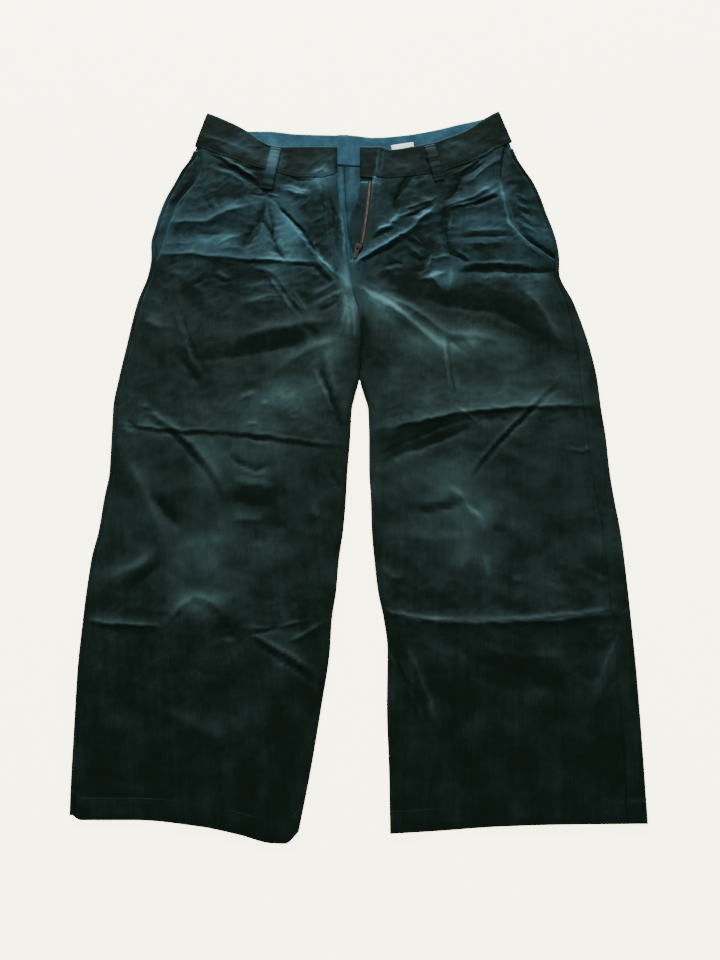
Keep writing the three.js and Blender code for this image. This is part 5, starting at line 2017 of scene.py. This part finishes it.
@dataclass
class Seam:
    """A row of stitches along a path on the cloth."""

    name: str
    path: Points
    pitch: float = 2.7
    size: tuple[float, float, float] = (0.62, 2.1, 0.42)
    sink: float = 0.02
    probe: float = 0.5
    least_run: float = 1e-6

    def build(self, cloth: Cloth) -> bpy.types.Object:
        """Builds the row and gives it its thread.

        Args:
            cloth: What every piece is made from.

        Returns:
            The row of stitches.
        """
        x, y, _ = self.path
        run = np.concatenate([[0], np.cumsum(np.hypot(np.diff(x), np.diff(y)))])
        at = np.arange(self.pitch / 2, run[-1], self.pitch)
        behind, middle, ahead = (np.array([np.interp(at + step, run, row) for row in self.path])
                                 for step in (-self.probe, 0, self.probe))
        dx, dy, dz = ahead - behind
        middle[2] += self.sink
        tilts = dz / np.maximum(np.hypot(dx, dy), self.least_run)
        bm = Copies.bead(*self.size).joined(middle.T, np.arctan2(-dx, dy), tilts)
        return cloth.maker.piece(bm, self.name, Slot.CORDUROY, cloth.wardrobe.thread)


@dataclass
class Stitching:
    """All rows of sewing that show."""

    cloth: Cloth
    fronts: dict[Side, FrontPanel]
    bands: dict[Side, FrontBand]
    pocket_rows: tuple = (("edge", 1.9), ("inner", 7.2))
    pocket_top: float = 399
    pocket_low: float = 3
    pocket_stop: float = 1.5
    band_rows: tuple = (("low", 0.06), ("high", 0.9))
    band_trim: tuple[int, int] = (3, -4)
    hem_probe: float = -420
    hem_ends: tuple[float, float] = (0.01, 0.985)
    fly_path: Table = Table(("y", "x"), (
        (182, -6), (190, -17), (206, -28), (240, -37), (300, -40), (366, -46)))
    points: int = 400

    def on_front(self, side: Side, x: np.ndarray, y: np.ndarray) -> Points:
        """Lays a path on a front panel."""
        return x, y, self.cloth.creased(x, y, side) - self.fronts[side].relief(x, y)

    def hem(self, side: Side) -> Seam:
        """The row that holds the hem up.

        Args:
            side: The leg.

        Returns:
            The row.
        """
        lay = self.cloth.lay
        share = np.linspace(*self.hem_ends, self.points)
        probe = np.full_like(share, self.hem_probe)
        x = mix(lay.front_outer(probe, side), INNER.read(side.word, probe), share)
        path = self.on_front(side, x, lay.hem_y(x) + lay.hem_depth)
        return Seam(f"stitches_hem_{side.word}", path)

    def pocket(self, side: Side, word: str, inset: float) -> Seam:
        """A row along the slant pocket's edge.

        Args:
            side: The side of the pocket.
            word: Name of the row.
            inset: Its distance from the edge, in mm.

        Returns:
            The row.
        """
        lay = self.cloth.lay
        y = np.linspace(lay.pocket_end_y + self.pocket_low, self.pocket_top, self.points)
        x = POCKET.read(side.word, y) + side.value * inset
        y = np.minimum(y, lay.waist_seam(x, side) - self.pocket_stop)
        return Seam(f"stitches_pocket_{word}_{side.word}", self.on_front(side, x, y))

    def band(self, side: Side, word: str, up: float) -> Seam:
        """A row along a front band.

        Args:
            side: The half of the band.
            word: Name of the row.
            up: Its share of the band's height.

        Returns:
            The row.
        """
        band = self.bands[side]
        at = np.linspace(*band.span, self.points)[slice(*self.band_trim)]
        ups = np.full_like(at, up)
        return Seam(f"stitches_band_{word}_{side.word}", (*band.station(at, ups), band.top(at, ups)))

    def fly(self) -> Seam:
        """The curved row that holds the fly's facing."""
        y = np.linspace(self.fly_path.rows[0][0], self.fly_path.rows[-1][0], self.points)
        return Seam("stitches_fly", self.on_front(Side.RIGHT, self.fly_path.read("x", y), y))

    def build(self) -> list[bpy.types.Object]:
        """Builds every row.

        Returns:
            The rows.
        """
        seams = [self.fly()]
        for side in Side:
            seams.append(self.hem(side))
            seams += [self.band(side, *row) for row in self.band_rows]
            seams += [self.pocket(side, *row) for row in self.pocket_rows]
        return [seam.build(self.cloth) for seam in seams]


@dataclass
class Chain:
    """The row of zip teeth on the left tape."""

    cloth: Cloth
    middle: float = -3.0
    low: float = 275
    high: float = 361.5
    pitch: float = 1.75
    base: float = 5.55
    size: tuple[float, float, float] = (2.6, 1.15, 1.5)
    edge: float = 0.3

    def build(self) -> bpy.types.Object:
        """Builds and dresses the teeth.

        Returns:
            The piece.
        """
        y = np.arange(self.low, self.high, self.pitch)
        x = INNER.read("left", y) + self.middle
        slope = (INNER.read("left", y + 1) - INNER.read("left", y - 1)) / 2
        z = np.full_like(y, self.base + self.size[2] / 2)
        teeth = Copies.block(*self.size, self.edge)
        bm = teeth.joined(np.stack([x, y, z], 1), -np.arctan(slope), np.zeros_like(y))
        obj = self.cloth.maker.piece(bm, "zip_chain_left_teeth", Slot.ZIP_METAL,
                                     self.cloth.wardrobe.teeth, shade=False)
        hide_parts("zip_chain_left")
        return obj


@dataclass
class Rounded:
    """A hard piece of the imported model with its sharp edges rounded."""

    node: str
    body: str
    cloth: Cloth
    edge: float = 0.16
    segments: int = 2
    same: float = 1e-6
    flat: float = 0.02
    sharp: float = math.radians(40)

    def build(self) -> bpy.types.Object:
        """Builds and dresses the rounded copy.

        Returns:
            The piece.
        """
        maker = self.cloth.maker
        bm = bmesh.new()
        bm.from_mesh(bpy.data.objects[self.node].data)
        bmesh.ops.remove_doubles(bm, verts=bm.verts, dist=self.same)
        bmesh.ops.dissolve_limit(bm, angle_limit=self.flat, verts=bm.verts, edges=bm.edges)
        bmesh.ops.scale(bm, vec=(1 / MM, 1 / MM, 1 / MM), verts=bm.verts)
        bmesh.ops.translate(bm, vec=-maker.shift, verts=bm.verts)
        edges = [edge for edge in bm.edges if edge.is_manifold and edge.calc_face_angle(0) > self.sharp]
        bevel(bm, edges, self.edge, self.segments)
        obj = maker.piece(bm, self.node + "_rounded", Slot.ZIP_METAL, self.cloth.wardrobe.metal,
                          self.body, shade=False)
        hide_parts(self.node)
        return obj


@dataclass
class BlankLabel:
    """The small plain white woven label on the back facing."""

    cloth: Cloth
    columns: int = 24
    rows: int = 14
    middle: tuple[float, float] = (58, 409.5)
    size: tuple[float, float] = (29, 15)
    turn: float = 0.16
    low: float = 3.3
    high: float = 3.8
    edge: Turn = Turn(0.22, 0.9)
    bulge: float = 0.12
    stitch_rows: tuple = (("near", 0.06), ("far", 0.94))
    stitch_ends: tuple[float, float] = (0.05, 0.95)
    stitch_pitch: float = 1.9
    stitch_size: tuple[float, float, float] = (0.4, 1.4, 0.3)
    points: int = 20

    def place(self, across: np.ndarray, up: np.ndarray) -> tuple[np.ndarray, np.ndarray]:
        """A place on the label, by its shares across and up.

        Args:
            across: Shares across.
            up: Shares up.

        Returns:
            The place across and along, in mm.
        """
        dx, dy = (across - 0.5) * self.size[0], (up - 0.5) * self.size[1]
        cos, sin = math.cos(self.turn), math.sin(self.turn)
        return self.middle[0] + dx * cos - dy * sin, self.middle[1] + dx * sin + dy * cos

    def build(self) -> list[bpy.types.Object]:
        """Builds and dresses the label and the stitches at its two ends.

        Returns:
            The pieces.
        """
        bm, across, up = grid(self.columns, self.rows)
        x, y = self.place(across, up)
        rim = np.minimum(np.minimum(across, 1 - across) * self.size[0],
                         np.minimum(up, 1 - up) * self.size[1])
        z = self.high - self.edge.at(rim) + self.bulge * np.sin(across * math.pi)
        close(bm, (x, y, z), (x, y, np.full_like(z, self.low)))
        obj = self.cloth.maker.piece(bm, "label_blank_cloth", Slot.LABEL, self.cloth.wardrobe.label)
        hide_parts("label_blank")
        return [obj, *(self.row(word, end).build(self.cloth) for word, end in self.stitch_rows)]

    def row(self, word: str, end: float) -> Seam:
        """The stitches at one end of the label.

        Args:
            word: Name of the row.
            end: Its share across the label.

        Returns:
            The row.
        """
        up = np.linspace(*self.stitch_ends, self.points)
        path = (*self.place(np.full_like(up, end), up), np.full_like(up, self.high))
        return Seam(f"stitches_label_{word}", path, self.stitch_pitch, self.stitch_size)


@dataclass
class Buttonhole:
    """The worked hole at the end of the right front band."""

    cloth: Cloth
    band: FrontBand
    start: float = -51
    end: float = -33
    up: float = 0.5
    pitch: float = 0.8
    reach: float = 1.3
    proud: float = 0.1
    size: tuple[float, float, float] = (0.6, 2.1, 0.55)

    def build(self) -> bpy.types.Object:
        """Builds the close stitches on both sides of the slit.

        Returns:
            The piece.
        """
        at = np.arange(self.start, self.end, self.pitch)
        rows = []
        for shift in (-self.reach, self.reach):
            ups = np.full_like(at, self.up + shift / self.band.tall)
            x, y = self.band.station(at, ups)
            rows.append(np.stack([x, y, self.band.top(at, ups) + self.proud], 1))
        places = np.concatenate(rows)
        level = np.zeros(len(places))
        bm = Copies.bead(*self.size).joined(places, level, level)
        return self.cloth.maker.piece(bm, "buttonhole_right", Slot.CORDUROY,
                                      self.cloth.wardrobe.thread)


@dataclass
class Studio:
    """Camera, pale floor and soft light, with places in metres and lights in watts."""

    eye: tuple[float, float, float] = (0.002137, -0.42648, 1.44889)
    target: tuple[float, float, float] = (0.002137, -0.03825, 0.0)
    lens: float = 46.5
    sensor: float = 36
    floor_size: float = 6
    floor_z: float = -0.0002
    floor_colour: Colour = (0.88, 0.855, 0.80)
    floor_shade: float = 0.98
    floor_clouds: Cloud = Cloud(3, 2, 0.4)
    floor_relief: float = 0.02
    floor_depth: float = 0.0001
    floor_glow: float = 5.8
    glow_colour: tuple = (1.0, 0.905, 0.62, 1)
    world_colour: tuple = (1.0, 0.985, 0.96, 1)
    world_strength: float = 0.66
    lights: tuple = (("key", (-0.3, 3.2, 1.75), 1.3, 235.0), ("fill", (0.4, -1.6, 2.6), 2.4, 20.0))

    def build(self) -> None:
        """Sets up everything around the trousers."""
        self.camera()
        self.floor()
        self.world()
        for light in self.lights:
            self.light(*light)

    def camera(self) -> None:
        """Makes the camera of the photograph."""
        data = bpy.data.cameras.new("camera")
        data.lens = self.lens
        data.sensor_width = self.sensor
        obj = bpy.data.objects.new("camera", data)
        self.aim(obj, self.eye, self.target)
        bpy.context.scene.camera = obj

    def aim(self, obj: bpy.types.Object, place: tuple, target: tuple) -> None:
        """Sets an object down and points it at a target.

        Args:
            obj: The camera or light.
            place: Where it goes, in metres.
            target: What it looks at.
        """
        obj.location = place
        way = Vector(target) - Vector(place)
        obj.rotation_euler = way.to_track_quat("-Z", "Y").to_euler()
        bpy.context.scene.collection.objects.link(obj)

    def floor(self) -> None:
        """Makes the pale floor."""
        bm = bmesh.new()
        bmesh.ops.create_grid(bm, x_segments=1, y_segments=1, size=self.floor_size)
        bmesh.ops.translate(bm, vec=(0, 0, self.floor_z), verts=bm.verts)
        mesh = bpy.data.meshes.new("floor")
        bm.to_mesh(mesh)
        bm.free()
        obj = bpy.data.objects.new("floor", mesh)
        bpy.context.scene.collection.objects.link(obj)
        graph = Graph.named("floor")
        cloud = graph.noise(graph.place(), self.floor_clouds)
        low = tuple(value * self.floor_shade for value in self.floor_colour)
        colour = graph.ramp(cloud, ((0.0, low), (1.0, self.floor_colour)))
        mesh.materials.append(graph.finish(colour, cloud, self.floor_relief, self.floor_depth, {
            "Roughness": 0.9, "Specular IOR Level": 0.0, "Emission Color": self.glow_colour,
            "Emission Strength": self.floor_glow}))

    def world(self) -> None:
        """Sets the even light from all around."""
        world = bpy.data.worlds.new("world")
        world.use_nodes = True
        back = world.node_tree.nodes["Background"]
        back.inputs["Color"].default_value = self.world_colour
        back.inputs["Strength"].default_value = self.world_strength
        bpy.context.scene.world = world

    def light(self, name: str, place: tuple, size: float, watts: float) -> None:
        """Adds a soft square light.

        Args:
            name: Name of the light.
            place: Where it is, in metres.
            size: Length of its side, in metres.
            watts: Its power.
        """
        data = bpy.data.lights.new(name, "AREA")
        data.size = size
        data.energy = watts
        self.aim(bpy.data.objects.new(name, data), place, (0, 0, 0))


def design_shift() -> Vector:
    """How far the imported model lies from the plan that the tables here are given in, in mm.

    Returns:
        The distance along each axis.
    """
    low, high = (Vector(corner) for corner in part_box("label_blank"))
    middle = (low + high) / 2 / MM
    label = BlankLabel.middle
    return Vector((middle.x - label[0], middle.y - label[1], 0))


def main() -> None:
    """Builds the trousers piece by piece."""
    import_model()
    Studio().build()
    cloth = Cloth(Lay(), Maker(design_shift()), Wear(), Wardrobe.filled())
    fronts = {side: FrontPanel(side, cloth) for side in Side}
    bands = {side: FrontBand(side, cloth) for side in Side}
    for side in Side:
        BackPanel(side, cloth).build()
        fronts[side].build()
        PocketFacing(side, cloth).build()
        bands[side].build()
        ZipTape(side, cloth).build()
    BackBand(cloth).build()
    FrontLoop(cloth, bands[Side.RIGHT], (-107, 408), (-117, 347)).build()
    FrontLoop(cloth, bands[Side.LEFT], (92, 412), (104, 360)).build()
    BackLoop(cloth).build()
    FlyShield(cloth).build()
    Chain(cloth).build()
    Rounded("zip_slider", BODY, cloth).build()
    Rounded("zip_pull", PULL_BODY, cloth).build()
    BlankLabel(cloth).build()
    Buttonhole(cloth, bands[Side.RIGHT]).build()
    Stitching(cloth, fronts, bands).build()


if __name__ == "__main__":
    logging.basicConfig(level=logging.INFO, format="%(name)s %(message)s")
    main()
